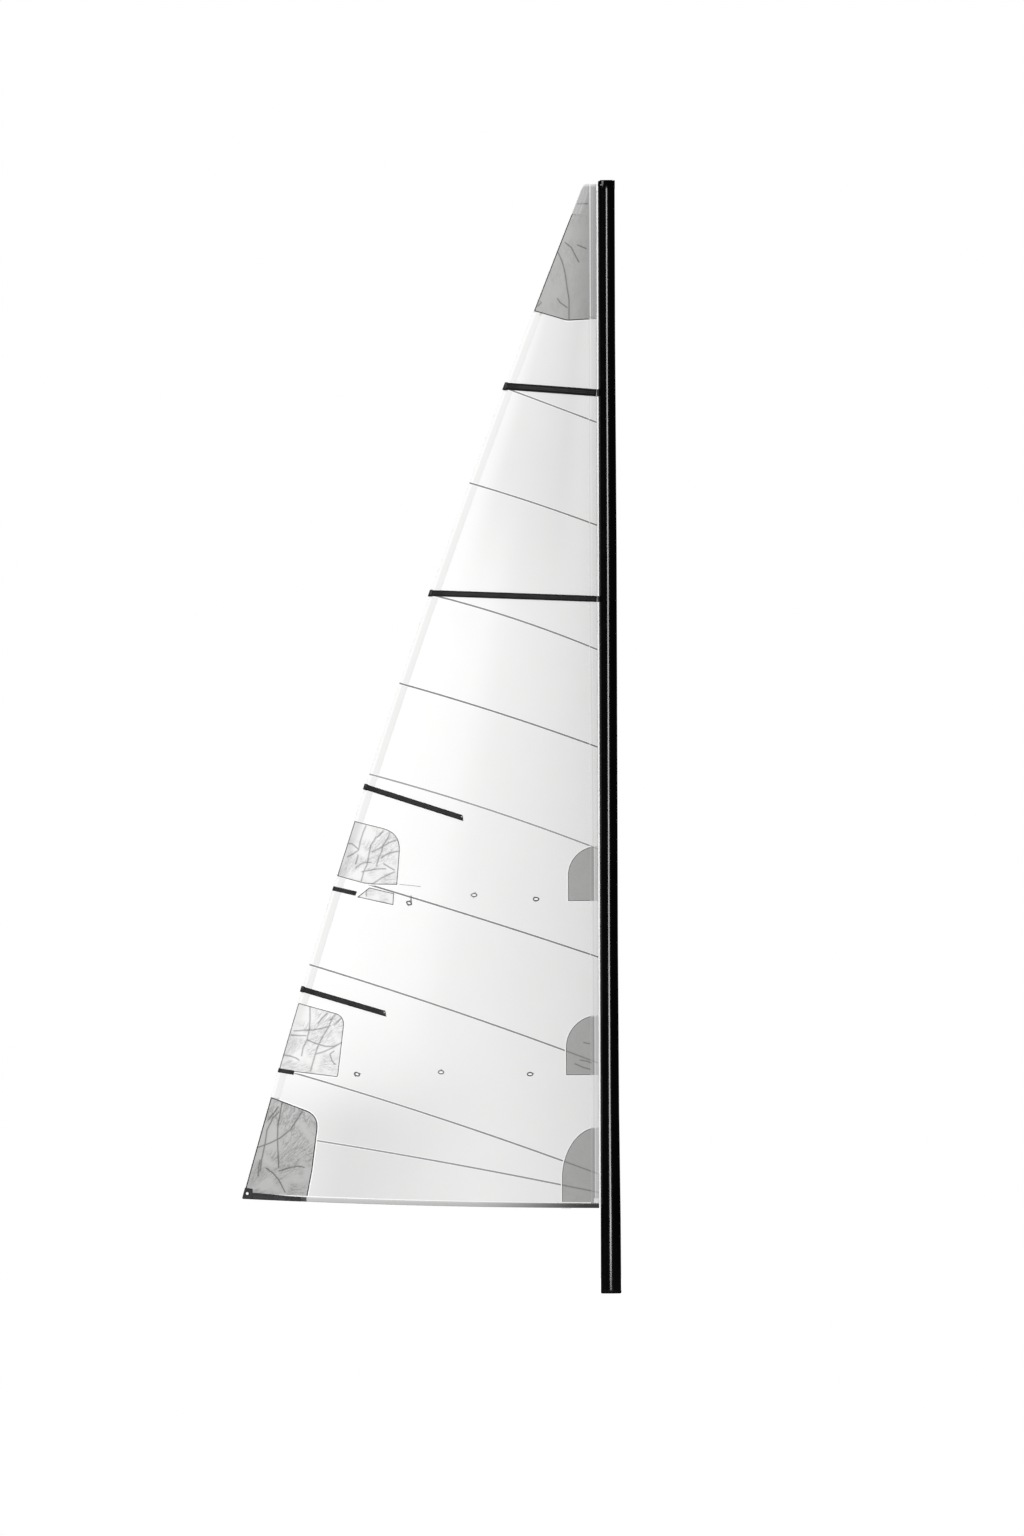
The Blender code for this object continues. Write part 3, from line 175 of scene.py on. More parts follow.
EYELETS: dict[str, tuple[float, float, float]] = {
    "reef_eyelet_1_1": (2.133, 1.189, -25.0),
    "reef_eyelet_1_2": (1.392, 1.205, 0.0),
    "reef_eyelet_1_3": (0.606, 1.185, 0.0),
    "reef_eyelet_2_1": (1.670, 2.698, -25.0),
    "reef_eyelet_2_2": (1.096, 2.767, 0.0),
    "reef_eyelet_2_3": (0.549, 2.730, 0.0),
}
CORNER = SAIL.meet_leech(SAIL.foot_line)
CLEW_INSET = 0.046
CLEW_RING: Point = (CORNER[0] - CLEW_INSET, CORNER[1] + CLEW_INSET)
CLEW_HOLE: Point = (0.0312, 0.0312)


@dataclass(frozen=True)
class Layer:
    """Two distances from the middle of the cloth, between which a layer lies."""

    low: float
    high: float

    def span(self, side: Side) -> Point:
        """Starboard and port face of the layer, along Y."""
        if side is Side.STARBOARD:
            return -self.high, -self.low
        return self.low, self.high


PANEL = Layer(0.0, 0.0002)
PATCH = Layer(0.0007, 0.0017)
HEAD_PATCH = Layer(0.0011, 0.0018)
TAPE = Layer(0.0021, 0.0027)
WEBBING = Layer(0.0030, 0.0039)
SEAM_STRIP = Layer(0.0003, 0.0006)
HEM = Layer(0.00064, 0.0009)
FOOT_HEM = Layer(0.00178, 0.00200)
OVER_TAPE = Layer(0.00275, 0.00293)
TAPE_FLAT = 0.0009
TAPE_REST = 0.0003
HEM_START = 0.70
HEM_TONE = 1.05
LUFF_TAPE_WIDTH = 0.072
LEECH_TAPE_WIDTH = 0.084
FOOT_TAPE_WIDTH = 0.042
EDGE_INSET = 0.001
EDGE_GAP = 0.0006
LEECH_SHOW = 0.005
FOLD_OUT = 0.0012
COVER_LENGTH = 0.094
SHARP_ANGLE = math.radians(40.0)


def smoothstep(low: float, high: float, value: Array) -> Array:
    """Ease from 0 at low to 1 at high."""
    share = np.clip((value - low) / (high - low), 0.0, 1.0)
    return share * share * (3.0 - 2.0 * share)


def seam_chord(index: int, u: Array) -> Array:
    """Height of a seam's straight chord at a distance aft of the luff."""
    height, rise, _ = SEAMS[index]
    return SAIL.tack_z + height + rise * u


SEAM_ENDS = [SAIL.meet_leech(lambda u, seam=seam: seam_chord(seam, u))[0] for seam in range(len(SEAMS))]


def seam_z(index: int, u: Array) -> Array:
    """Height of a seam at a distance aft of the luff, bow included."""
    share = u / SEAM_ENDS[index]
    return seam_chord(index, u) + 4 * SEAMS[index][2] * share * (1 - share)


def seam_shadow(u: Array, z: Array) -> Array:
    """Darkness of the seams that show through a patch, 1 in the middle of a seam."""
    shadow = np.zeros(np.shape(u))
    for index in range(len(SEAMS)):
        shadow = np.maximum(shadow, np.exp(-(((z - seam_z(index, u)) / 0.0062) ** 2)))
    return shadow


def leech_tape_width(z: Array) -> Array:
    """Width of the leech tape, which narrows beside the luff tape at the head."""
    return np.minimum(SAIL.leech(z) - LUFF_TAPE_WIDTH - EDGE_GAP, LEECH_TAPE_WIDTH)


@dataclass(frozen=True)
class Relief:
    """Small hills of set cloth, which all its layers share."""

    seam_pucker: float = 0.00042
    seam_reach: float = 0.024
    seam_wave: float = 0.061
    luff_pucker: float = 0.0008
    luff_reach: float = 0.09
    luff_wave: float = 0.31
    leech_curl: float = 0.0010
    leech_reach: float = 0.13
    leech_wave: float = 0.54
    swell: float = 0.0012
    calm: float = 0.075

    def height(self, u: Array, z: Array) -> Array:
        """Height of the hills to starboard.

        Args:
            u: distances aft of the luff.
            z: heights.

        Returns:
            Heights in metres, 0 at the metal rings.
        """
        hills = self.swell * np.sin(2.9 * u + 1.1 * z + 0.7) * np.sin(1.7 * z - 1.3 * u + 2.0)
        hills = hills + self.luff_pucker * np.exp(-np.abs(u) / self.luff_reach) * np.sin(
            2 * math.pi * z / self.luff_wave + 0.6 * np.sin(2.3 * z)
        )
        inward = np.abs(SAIL.leech(z) - u)
        hills = hills + self.leech_curl * np.exp(-inward / self.leech_reach) * np.sin(
            2 * math.pi * z / self.leech_wave + 0.9 * np.sin(1.1 * z)
        )
        for index in range(len(SEAMS)):
            across = (z - seam_z(index, u)) / self.seam_reach
            wave = np.sin(2 * math.pi * u / self.seam_wave + 1.7 * index + 0.8 * np.sin(3.1 * u))
            hills = hills + self.seam_pucker * np.exp(-across * across) * wave
        still = [(u0, SAIL.tack_z + z0) for u0, z0, _ in EYELETS.values()] + [CLEW_RING]
        for u0, z0 in still:
            apart = ((u - u0) ** 2 + (z - z0) ** 2) / self.calm**2
            hills = hills * (1.0 - np.exp(-apart))
        return hills


RELIEF = Relief()


# Folds that are pressed into the patches, as lines on the sail

FOLDS: dict[str, tuple[tuple[Point, ...], ...]] = {
    "clew": (
        ((2.793, 1.717), (2.811, 1.611), (2.833, 1.505), (2.838, 1.381), (2.833, 1.258), (2.828, 1.125)),
        ((2.603, 1.642), (2.656, 1.557), (2.727, 1.451), (2.815, 1.381), (2.904, 1.337), (3.027, 1.293)),
        ((2.824, 1.611), (2.877, 1.558), (2.930, 1.452), (2.948, 1.328), (2.975, 1.205), (2.993, 1.090)),
        ((2.992, 1.187), (3.005, 1.117), (3.011, 1.046)),
        ((2.940, 1.117), (2.878, 1.072), (2.825, 1.010), (2.790, 0.940), (2.772, 0.904)),
        ((2.825, 1.090), (2.745, 1.116), (2.657, 1.133), (2.601, 1.124)),
        ((2.921, 1.540), (2.877, 1.593), (2.832, 1.655)),
    ),
    "reef_1": (
        ((2.547, 2.549), (2.548, 2.422), (2.555, 2.334), (2.575, 2.246), (2.610, 2.175), (2.623, 2.108)),
        ((2.350, 2.439), (2.389, 2.351), (2.438, 2.272), (2.478, 2.193), (2.504, 2.113), (2.544, 1.972)),
        ((2.689, 2.326), (2.610, 2.331), (2.530, 2.334), (2.442, 2.348), (2.371, 2.372)),
        ((2.569, 2.246), (2.495, 2.214), (2.407, 2.189), (2.336, 2.189), (2.266, 2.224)),
        ((2.495, 2.122), (2.425, 2.143), (2.354, 2.175), (2.292, 2.210)),
        ((2.477, 2.390), (2.438, 2.440), (2.397, 2.484)),
        ((2.371, 2.422), (2.336, 2.453), (2.309, 2.489)),
        ((2.336, 2.378), (2.300, 2.407), (2.274, 2.439)),
        ((2.336, 2.148), (2.372, 2.122), (2.354, 2.060), (2.328, 2.033)),
        ((2.782, 2.114), (2.725, 2.105), (2.672, 2.087), (2.646, 2.069)),
        ((2.716, 2.290), (2.645, 2.285), (2.583, 2.285)),
    ),
    "reef_2": (
        ((2.048, 4.137), (2.074, 4.077), (2.102, 3.988), (2.115, 3.922), (2.168, 3.884), (2.212, 3.862)),
        ((2.201, 3.978), (2.174, 3.978), (2.146, 3.955), (2.118, 3.931)),
        ((2.119, 3.878), (2.130, 3.834), (2.141, 3.801)),
        ((1.897, 4.087), (1.931, 4.049), (1.964, 4.032), (1.980, 3.999), (2.008, 3.966), (2.019, 3.900)),
        ((2.019, 3.900), (2.042, 3.790), (2.069, 3.734), (2.092, 3.646)),
        ((1.837, 4.074), (1.859, 4.021), (1.898, 3.966), (1.909, 3.911), (1.937, 3.855), (1.957, 3.778)),
        ((1.782, 4.010), (1.826, 3.993), (1.881, 3.966), (1.936, 3.933), (1.997, 3.905)),
        ((1.765, 3.910), (1.826, 3.899), (1.881, 3.877), (1.914, 3.850)),
        ((1.893, 3.800), (1.848, 3.772), (1.799, 3.745)),
        ((1.799, 3.728), (1.860, 3.701), (1.915, 3.673), (1.965, 3.640), (1.998, 3.618)),
        ((2.086, 3.729), (2.025, 3.743), (1.948, 3.754), (1.876, 3.756)),
        ((2.141, 3.762), (2.102, 3.795), (2.058, 3.814), (2.003, 3.812)),
        ((2.037, 3.591), (2.048, 3.558), (2.046, 3.514)),
    ),
    "head": (
        ((0.339, 9.193), (0.300, 9.105), (0.278, 9.017), (0.260, 8.884), (0.243, 8.774), (0.244, 8.597)),
        ((0.277, 9.281), (0.222, 9.237), (0.189, 9.171), (0.156, 9.109)),
        ((0.345, 8.785), (0.323, 8.752), (0.261, 8.707)),
        ((0.165, 9.623), (0.073, 9.623)),
        ((0.167, 9.259), (0.090, 9.226)),
        ((0.521, 8.719), (0.488, 8.752)),
    ),
    "reef_tack": (
        ((0.209, 2.030), (0.132, 1.996), (0.065, 1.978)),
        ((0.164, 2.063), (0.098, 2.051), (0.065, 2.036)),
        ((0.131, 2.217), (0.076, 2.206)),
    ),
}


@dataclass(frozen=True)
class Creasing:
    """Cross-section and painted shade of a pressed fold."""

    width: float = 0.0050
    valley: float = 0.0005
    shoulder: float = 0.0003

    def near(self, u: Array, z: Array, lines: Sequence[Sequence[Point]]) -> Array:
        """Distance to the nearest fold line."""
        nearest = np.full(np.shape(u), 1.0)
        for line in lines:
            nearest = np.minimum(nearest, line_distance(u, z, line)[0])
        return nearest

    def mark(self, distance: Array) -> Array:
        """Painted shade of the fold, 1 in its middle, which also shapes its valley."""
        return np.exp(-((distance / self.width) ** 2))

    def depth(self, distance: Array) -> Array:
        """Height of the cloth beside a fold: a valley between two low shoulders."""
        away = (distance - 2.4 * self.width) / (1.4 * self.width)
        return self.shoulder * np.exp(-away * away) - self.valley * self.mark(distance)


CREASING = Creasing()


def line_distance(u: Array, z: Array, line: Sequence[Point]) -> tuple[Array, Array]:
    """Distance to an open line, and how far along it the nearest point is.

    Args:
        u: distances aft of the luff.
        z: heights.
        line: points of the line.

    Returns:
        The distances, and the lengths along the line.
    """
    nearest = np.full(np.shape(u), 1e3)
    along = np.zeros(np.shape(u))
    walked = 0.0
    for (u0, z0), (u1, z1) in zip(line, line[1:]):
        length = math.hypot(u1 - u0, z1 - z0)
        if length < 1e-9:
            continue
        share = np.clip(((u - u0) * (u1 - u0) + (z - z0) * (z1 - z0)) / length**2, 0.0, 1.0)
        apart = np.hypot(u - u0 - share * (u1 - u0), z - z0 - share * (z1 - z0))
        closer = apart < nearest
        nearest = np.where(closer, apart, nearest)
        along = np.where(closer, walked + share * length, along)
        walked += length
    return nearest, along


def fillet(corners: Sequence[Corner], steps: int = 10) -> list[Point]:
    """Round the corners of an open outline given as (u, z, radius)."""
    points = [corners[0][:2]]
    for index in range(1, len(corners) - 1):
        here = Vector(corners[index][:2])
        radius = corners[index][2]
        if radius == 0.0:
            points.append(tuple(here))
            continue
        back = (Vector(corners[index - 1][:2]) - here).normalized()
        ahead = (Vector(corners[index + 1][:2]) - here).normalized()
        reach = radius / math.tan(back.angle(ahead) / 2)
        for step in range(steps + 1):
            share = step / steps
            near = (here + back * reach).lerp(here, share)
            far = here.lerp(here + ahead * reach, share)
            points.append(tuple(near.lerp(far, share)))
    points.append(corners[-1][:2])
    return points


def spaced(start: float, end: float, step: float = 0.08) -> list[float]:
    """Even places from start to end, about a step apart."""
    return np.linspace(start, end, max(2, int(abs(end - start) / step) + 1)).tolist()


def leech_points(start: float, end: float) -> list[Point]:
    """Points just in from the leech, from one height to another."""
    return [(float(SAIL.leech(z)) - LEECH_SHOW, z) for z in spaced(start, end)]


def foot_points(start: float, end: float) -> list[Point]:
    """Points just above the foot, from one distance aft to another."""
    return [(u, float(SAIL.foot_line(u)) + EDGE_INSET) for u in spaced(start, end)]


# Patch outlines


@dataclass(frozen=True)
class PatchPlan:
    """One kind of patch: outline, folds, finish, brightness under a tape, and where its wrinkles meet."""

    name: str
    outline: tuple[Point, ...]
    border: tuple[Point, ...]
    folds: str
    tone: float
    slot: str
    nodes: str
    look: str = "patch_cloth"
    layer: Layer = PATCH
    over_leech: bool = False
    fan: Point = (0.0, 0.0)

    def holds(self, u: Array, z: Array) -> Array:
        """Whether points lie inside the outline."""
        inside = np.zeros(np.shape(u), bool)
        for (u0, z0), (u1, z1) in zip(self.outline, self.outline[1:] + self.outline[:1]):
            if z0 == z1:
                continue
            crosses = (z0 > z) != (z1 > z)
            inside ^= crosses & (u < (u1 - u0) * (z - z0) / (z1 - z0) + u0)
        return inside


def from_leech(inward: float, height: float, rounding: float) -> Corner:
    """Corner given by its distance from the leech and its height above the tack."""
    z = SAIL.tack_z + height
    return float(SAIL.leech(z)) - max(inward, LEECH_SHOW), z, rounding


def luff_patch(width: float, top: float, bottom: Optional[float], rounding: float) -> tuple[Point, ...]:
    """Outline of a patch at the luff whose upper aft corner is round."""
    centre = SAIL.tack_z + top - rounding
    if bottom is None:
        lower = foot_points(EDGE_INSET, width)
    else:
        lower = [(EDGE_INSET, SAIL.tack_z + bottom), (width, SAIL.tack_z + bottom)]
    angles = np.linspace(0.0, math.pi / 2, 18)[:-1]
    arc = [(width * math.cos(angle), centre + rounding * math.sin(angle)) for angle in angles]
    return tuple([*lower, *arc, (EDGE_INSET, SAIL.tack_z + top)])


def leech_patch(corners: Sequence[Corner]) -> tuple[Point, ...]:
    """Outline of a patch that ends on the leech at both ends."""
    front = fillet([from_leech(*corner) for corner in corners])
    return (*front, *leech_points(front[-1][1], front[0][1])[1:-1])


def clew_outline() -> tuple[Point, ...]:
    """Outline of the patch at the clew, whose lower edge is the foot."""
    corners = [from_leech(*corner) for corner in CLEW_CORNERS]
    foot_u = CORNER[0] - CLEW_PATCH_FOOT
    corners.append((foot_u, float(SAIL.foot_line(foot_u)) + EDGE_INSET, 0.0))
    front = fillet(corners)
    low = SAIL.meet_leech(lambda u: SAIL.foot_line(u) + EDGE_INSET, LEECH_SHOW)
    foot = foot_points(foot_u, low[0])
    edge = leech_points(low[1], front[0][1])
    return (*front, *foot[1:-1], *edge[:-1])


def head_outline() -> tuple[Point, ...]:
    """Outline of the patch over the headboard."""
    top = SAIL.head_z - EDGE_INSET
    luff, middle, leech = (SAIL.head_z - drop for drop in HEAD_PATCH_DROPS)
    edge = leech_points(leech, top)
    lower = fillet([(EDGE_INSET, luff, 0.0), (0.262, middle, 0.15), (*edge[0], 0.0)])
    return (*lower, *edge[1:], (EDGE_INSET, top))


LUFF_PATCHES: dict[str, tuple[float, float, Optional[float], float]] = {
    "tack": (0.326, 0.715, None, 0.450),
    "reef_1_tack": (0.288, 1.704, 1.175, 0.284),
    "reef_2_tack": (0.266, 3.197, 2.712, 0.257),
}
HEAD_PATCH_DROPS = (1.193, 1.208, 1.121)
CLEW_PATCH_FOOT = 0.569
CLEW_CORNERS = ((0.0, 0.988, 0.0), (0.475, 0.828, 0.16), (0.552, 0.343, 0.0))
REEF_1_CORNERS = ((0.0, 1.818, 0.0), (0.450, 1.705, 0.11), (0.546, 1.163, 0.02), (0.0, 1.227, 0.0))
REEF_2_CORNERS = (
    (0.0, 3.423, 0.0),
    (0.448, 3.320, 0.20),
    (0.559, 2.860, 0.0),
    (0.350, 2.863, 0.0),
    (0.262, 2.872, 0.0),
    (0.0, 2.937, 0.0),
)
REEF_2_STRIP: tuple[Point, ...] = ((2.021, 3.591), (2.130, 3.506), (1.809, 3.435), (1.802, 3.539))


def patch_plans() -> tuple[PatchPlan, ...]:
    """Every patch of one face of the sail."""
    head = head_outline()
    clew = clew_outline()
    reef_1 = leech_patch(REEF_1_CORNERS)
    reef_2 = leech_patch(REEF_2_CORNERS)
    grey = {"slot": "patch_cloth", "tone": 0.52}
    pale = {"slot": "reef_patch_cloth", "tone": 0.90, "look": "reef_patch_cloth", "over_leech": True}
    first = {"folds": "reef_1", "nodes": "reef_1_clew_patch", "fan": (2.86, 1.98), **pale}
    second = {"folds": "reef_2", "nodes": "reef_2_clew_patch", "fan": (2.32, 3.58), **pale}
    plans = [
        PatchPlan(
            "head", head, head[:12], "head", nodes="head_patch", look="head_patch_cloth", layer=HEAD_PATCH,
            over_leech=True, fan=(0.25, 8.45), **grey,
        ),
        PatchPlan(
            "clew", clew, clew[:14], "clew", nodes="clew_patch", look="clew_patch_cloth", over_leech=True,
            fan=CORNER, **grey,
        ),
        PatchPlan("reef_1_clew", reef_1, reef_1[:24], **first),
        PatchPlan("reef_2_clew", reef_2, reef_2[:16], **second),
        PatchPlan("reef_2_strip", REEF_2_STRIP, REEF_2_STRIP, **second),
    ]
    for name, sizes in LUFF_PATCHES.items():
        outline = luff_patch(*sizes)
        border = outline[-20:] if sizes[2] is None else outline
        fan = (-0.1, SAIL.tack_z + sizes[1] - 0.6)
        plan = PatchPlan(name, outline, border, "reef_tack", nodes=f"{name}_patch", fan=fan, **grey)
        plans.append(plan)
    return tuple(plans)


PATCHES = patch_plans()


def patch_tone(u: Array, z: Array) -> Array:
    """Brightness of tape beside plain tape, which lets a patch show through."""
    tone = np.ones(np.shape(u))
    for plan in PATCHES:
        tone = np.where(plan.holds(u, z), plan.tone, tone)
    return tone


def patch_top(u: Array, z: Array) -> Array:
    """Distance from the middle of the cloth to the face of what is sewn under the tapes."""
    top = np.full(np.shape(u), PANEL.high)
    for plan in PATCHES:
        top = np.where(plan.holds(u, z), plan.layer.high, top)
    return top


def fold_mark(u: Array, z: Array) -> Array:
    """Painted shade of the pressed folds on any layer."""
    lines = [line for group in FOLDS.values() for line in group]
    return CREASING.mark(CREASING.near(u, z, lines))


# Meshes


@dataclass
class FlatPiece:
    """A flat piece of cloth, cut into small faces."""

    points: Array
    faces: Faces


def split(polygon: list[Point], axis: int, level: float) -> tuple[list[Point], list[Point]]:
    """Cut a polygon along a level or upright line.

    Args:
        polygon: its corners.
        axis: 0 to cut at a distance aft, 1 to cut at a height.
        level: where the line lies.

    Returns:
        What lies below the line and what lies above it.
    """
    below: list[Point] = []
    above: list[Point] = []
    for index, here in enumerate(polygon):
        before = polygon[index - 1]
        if (here[axis] >= level) != (before[axis] >= level):
            share = (level - before[axis]) / (here[axis] - before[axis])
            other = before[1 - axis] + (here[1 - axis] - before[1 - axis]) * share
            crossing = (level, other) if axis == 0 else (other, level)
            below.append(crossing)
            above.append(crossing)
        (above if here[axis] >= level else below).append(here)
    return below, above


def cut_to_grid(outline: Sequence[Point], step: float) -> FlatPiece:
    """Cut an outline into faces along an even grid.

    Args:
        outline: corners of the piece.
        step: distance between two lines of the grid.

    Returns:
        The piece, with its faces counter-clockwise as seen from starboard.
    """
    table: dict[tuple[int, int], int] = {}
    points: list[Point] = []
    faces: Faces = []

    def number(point: Point) -> int:
        """Index of a point, shared by the faces around it."""
        key = (round(point[0] * 1e6), round(point[1] * 1e6))
        if key not in table:
            table[key] = len(points)
            points.append(point)
        return table[key]

    rest = [tuple(point) for point in outline]
    low_u = min(point[0] for point in outline)
    high_u = max(point[0] for point in outline)
    levels = [low_u + (index + 1) * step for index in range(int((high_u - low_u) / step))]
    for level in [*levels, None]:
        strip, rest = (rest, []) if level is None else split(rest, 0, level)
        if len(strip) < 3:
            continue
        heights = [point[1] for point in strip]
        rows = np.arange(math.floor(min(heights) / step) + 1, math.ceil(max(heights) / step)) * step
        for row in [*rows.tolist(), None]:
            cell, strip = (strip, []) if row is None else split(strip, 1, row)
            ring = [number(point) for point in cell]
            ring = [here for index, here in enumerate(ring) if here != ring[index - 1]]
            if len(set(ring)) < 3 or len(set(ring)) != len(ring):
                continue
            here_u, here_z = np.array([points[index] for index in ring]).T
            turn = np.sum(here_u * np.roll(here_z, -1) - np.roll(here_u, -1) * here_z)
            if abs(turn) < 1e-10:
                continue
            faces.append(ring if turn < 0 else ring[::-1])
    return FlatPiece(np.array(points), faces)


def open_edges(faces: Faces) -> list[tuple[int, int]]:
    """Edges that only one face uses, in that face's direction."""
    used = {(face[index - 1], face[index]) for face in faces for index in range(len(face))}
    return [edge for edge in sorted(used) if (edge[1], edge[0]) not in used]


def thicken(faces: Faces, count: int) -> Faces:
    """Close a sheet whose back has the points of its front again.

    Args:
        faces: faces of the front.
        count: number of points of the front.

    Returns:
        The faces of the front, the back and the rim.
    """
    back = [[index + count for index in reversed(face)] for face in faces]
    rims = [[b, a, a + count, b + count] for a, b in open_edges(faces)]
    return [*faces, *back, *rims]


def grid_faces(rows: int, columns: int, cyclic: bool = False) -> Faces:
    """Faces between the points of a grid.

    Args:
        rows: number of its rows.
        columns: points in a row.
        cyclic: whether each row closes on itself.

    Returns:
        The faces, row by row.
    """
    faces = []
    for row in range(rows - 1):
        for column in range(columns if cyclic else columns - 1):
            a, b = row * columns + column, row * columns + (column + 1) % columns
            faces.append([a, a + columns, b + columns, b])
    return faces


def make_mesh(name: str, points: Array, faces: Faces, cloth: Array, marks: Marks) -> Thing:
    """Make an object from closed faces.

    Args:
        name: its name.
        points: places of its corners.
        faces: corners of each face.
        cloth: (u, z) of each corner, kept as the UV map named cloth.
        marks: value of each named attribute at each corner.

    Returns:
        The object, shaded smooth between sharp edges.
    """
    mesh = bpy.data.meshes.new(name)
    mesh.from_pydata(points.tolist(), [], faces)
    shape = bmesh.new()
    shape.from_mesh(mesh)
    bmesh.ops.recalc_face_normals(shape, faces=shape.faces)
    shape.to_mesh(mesh)
    shape.free()
    corner = np.empty(len(mesh.loops), np.int32)
    mesh.loops.foreach_get("vertex_index", corner)
    layer = mesh.uv_layers.new(name="cloth")
    layer.data.foreach_set("uv", cloth[corner].astype(np.float32).ravel())
    for key, values in marks.items():
        attribute = mesh.attributes.new(key, "FLOAT", "POINT")
        attribute.data.foreach_set("value", np.asarray(values, np.float32))
    shade_smooth(mesh)
    obj = bpy.data.objects.new(name, mesh)
    bpy.context.scene.collection.objects.link(obj)
    return obj


def shade_smooth(mesh: bpy.types.Mesh) -> None:
    """Shade a mesh smooth between its sharp edges."""
    mesh.shade_smooth()
    mesh.set_sharp_from_angle(angle=SHARP_ANGLE)


def lay(u: Array, z: Array, offset: Array, own: Array = 0.0) -> Array:
    """Places on the set sail.

    Args:
        u: distances aft of the luff.
        z: heights.
        offset: distances along Y from the middle of the cloth.
        own: height of the layer's own folds, to starboard.

    Returns:
        One place a row.
    """
    y = SAIL.belly(u, z) - RELIEF.height(u, z) - own + offset
    return np.column_stack((SAIL.luff_x - u, y, z))


def sheet_mesh(name: str, flat: FlatPiece, span: Point, marks: Marks, own: Array = 0.0) -> Thing:
    """Lay a flat piece on the sail and give it its thickness.

    Args:
        name: name of the object.
        flat: the cut piece.
        span: its starboard and port face, along Y.
        marks: attributes at its points.
        own: height of its own folds, to starboard.

    Returns:
        The object.
    """
    u, z = flat.points.T
    points = np.vstack([lay(u, z, face, own) for face in span])
    doubled = {key: np.tile(values, 2) for key, values in marks.items()}
    return make_mesh(name, points, thicken(flat.faces, len(u)), np.tile(flat.points, (2, 1)), doubled)


def shell_mesh(name: str, outer: Array, inner: Array, marks: Marks, cyclic: bool = False) -> Thing:
    """Loft a thin wall between two grids of (u, z, distance from the middle).

    Args:
        name: name of the object.
        outer: rows by columns by 3, the outer face.
        inner: the same for the inner face.
        marks: attributes by rows and columns.
        cyclic: whether the columns close on themselves.

    Returns:
        The object.
    """
    rows, columns = outer.shape[:2]
    grid = np.vstack((outer.reshape(-1, 3), inner.reshape(-1, 3)))
    faces = thicken(grid_faces(rows, columns, cyclic), rows * columns)
    doubled = {key: np.tile(values.ravel(), 2) for key, values in marks.items()}
    return make_mesh(name, lay(*grid.T), faces, grid[:, :2], doubled)


def folded_band(
    name: str, stations: Array, place: Place, width: float, layer: Layer, tone: Tone, settle: bool = False,
    columns: Sequence[float] = (1.0, 0.86, 0.70, 0.58, 0.44, 0.26, 0.09),
) -> Thing:
    """Fold a tape round an edge of the sail.

    Args:
        name: name of the object.
        stations: places along the edge.
        place: (u, z) from stations and distances in from the edge.
        width: width of the tape on each face.
        layer: distances between which the tape lies.
        tone: brightness from u, z and distance in from the edge.
        settle: whether its inner edge comes down onto the cloth.
        columns: shares of the width at which each face has points, from the inside out.

    Returns:
        The object.
    """
    thick = layer.high - layer.low
    flat = np.array(columns) * width
    plain = np.ones(len(flat))
    turn = np.linspace(math.pi / 2, -math.pi / 2, 7)

    def section(radius: float, inset: float) -> tuple[Array, Array]:
        """Distances in from the edge and from the middle of the cloth, all round the fold."""
        inward = np.concatenate((flat, inset + radius * (1.0 - np.cos(turn)), flat[::-1]))
        return inward, radius * np.concatenate((plain, np.sin(turn), -plain))

    inward, outside = section(layer.high, 0.0)
    inner_in, inside = section(layer.low, thick)
    s, d = np.meshgrid(stations, inward, indexing="ij")
    u, z = place(s, d)
    outer_y, inner_y = (np.broadcast_to(level, s.shape) for level in (outside, inside))
    if settle:
        top = patch_top(u, z)
        under = top + (TAPE_FLAT - PANEL.high) * (top < PATCH.low) + TAPE_REST
        drop = smoothstep(HEM_START * width, width, d)
        eased = np.minimum(np.maximum(under, layer.low) * (1 - drop) + under * drop, layer.low)
        side = np.sign(outer_y)
        edge = d > 0.5 * width
        outer_y = np.where(edge, side * (eased + thick), outer_y)
        inner_y = np.where(edge, side * eased, inner_y)
    inner_u, inner_z = place(s, np.broadcast_to(inner_in, s.shape))
    # The patches' folds, with their painted shade, show on the tape over them.
    crease = fold_mark(u, z) * (patch_tone(u, z) < 1.0)
    marks = {"edge": d, "run": s, "tone": tone(u, z, d), "crease": crease}
    return shell_mesh(name, np.dstack((u, z, outer_y)), np.dstack((inner_u, inner_z, inner_y)), marks)


def select_only(obj: Thing) -> None:
    """Make one object the only selected and active one."""
    bpy.ops.object.select_all(action="DESELECT")
    obj.select_set(True)
    bpy.context.view_layer.objects.active = obj


def apply_modifiers(obj: Thing) -> None:
    """Apply every modifier of an object."""
    select_only(obj)
    for modifier in list(obj.modifiers):
        bpy.ops.object.modifier_apply(modifier=modifier.name)


def join(first: Thing, *others: Thing) -> Thing:
    """Join objects into the first one."""
    select_only(first)
    for other in others:
        other.select_set(True)
    bpy.ops.object.join()
    return first


def punch(obj: Thing, centre: Point = CLEW_RING, size: Point = CLEW_HOLE, turn: float = 0.0) -> None:
    """Cut an oval hole through a piece of cloth.

    Args:
        obj: the piece.
        centre: (u, z) of the hole.
        size: its length and height.
        turn: its turn in degrees, positive where the aft end is high.
    """
    place = (SAIL.luff_x - centre[0], float(SAIL.belly(*centre)), centre[1])
    bpy.ops.object.select_all(action="DESELECT")
    bpy.ops.mesh.primitive_cylinder_add(vertices=40, radius=0.5, depth=0.1, location=place)
    cutter = bpy.context.active_object
    cutter.rotation_euler = (math.pi / 2, math.radians(turn), 0.0)
    cutter.scale = (*size, 1.0)
    cut = obj.modifiers.new("hole", "BOOLEAN")
    cut.operation = "DIFFERENCE"
    cut.solver = "EXACT"
    cut.object = cutter
    apply_modifiers(obj)
    bpy.data.objects.remove(cutter, do_unlink=True)


# Node trees


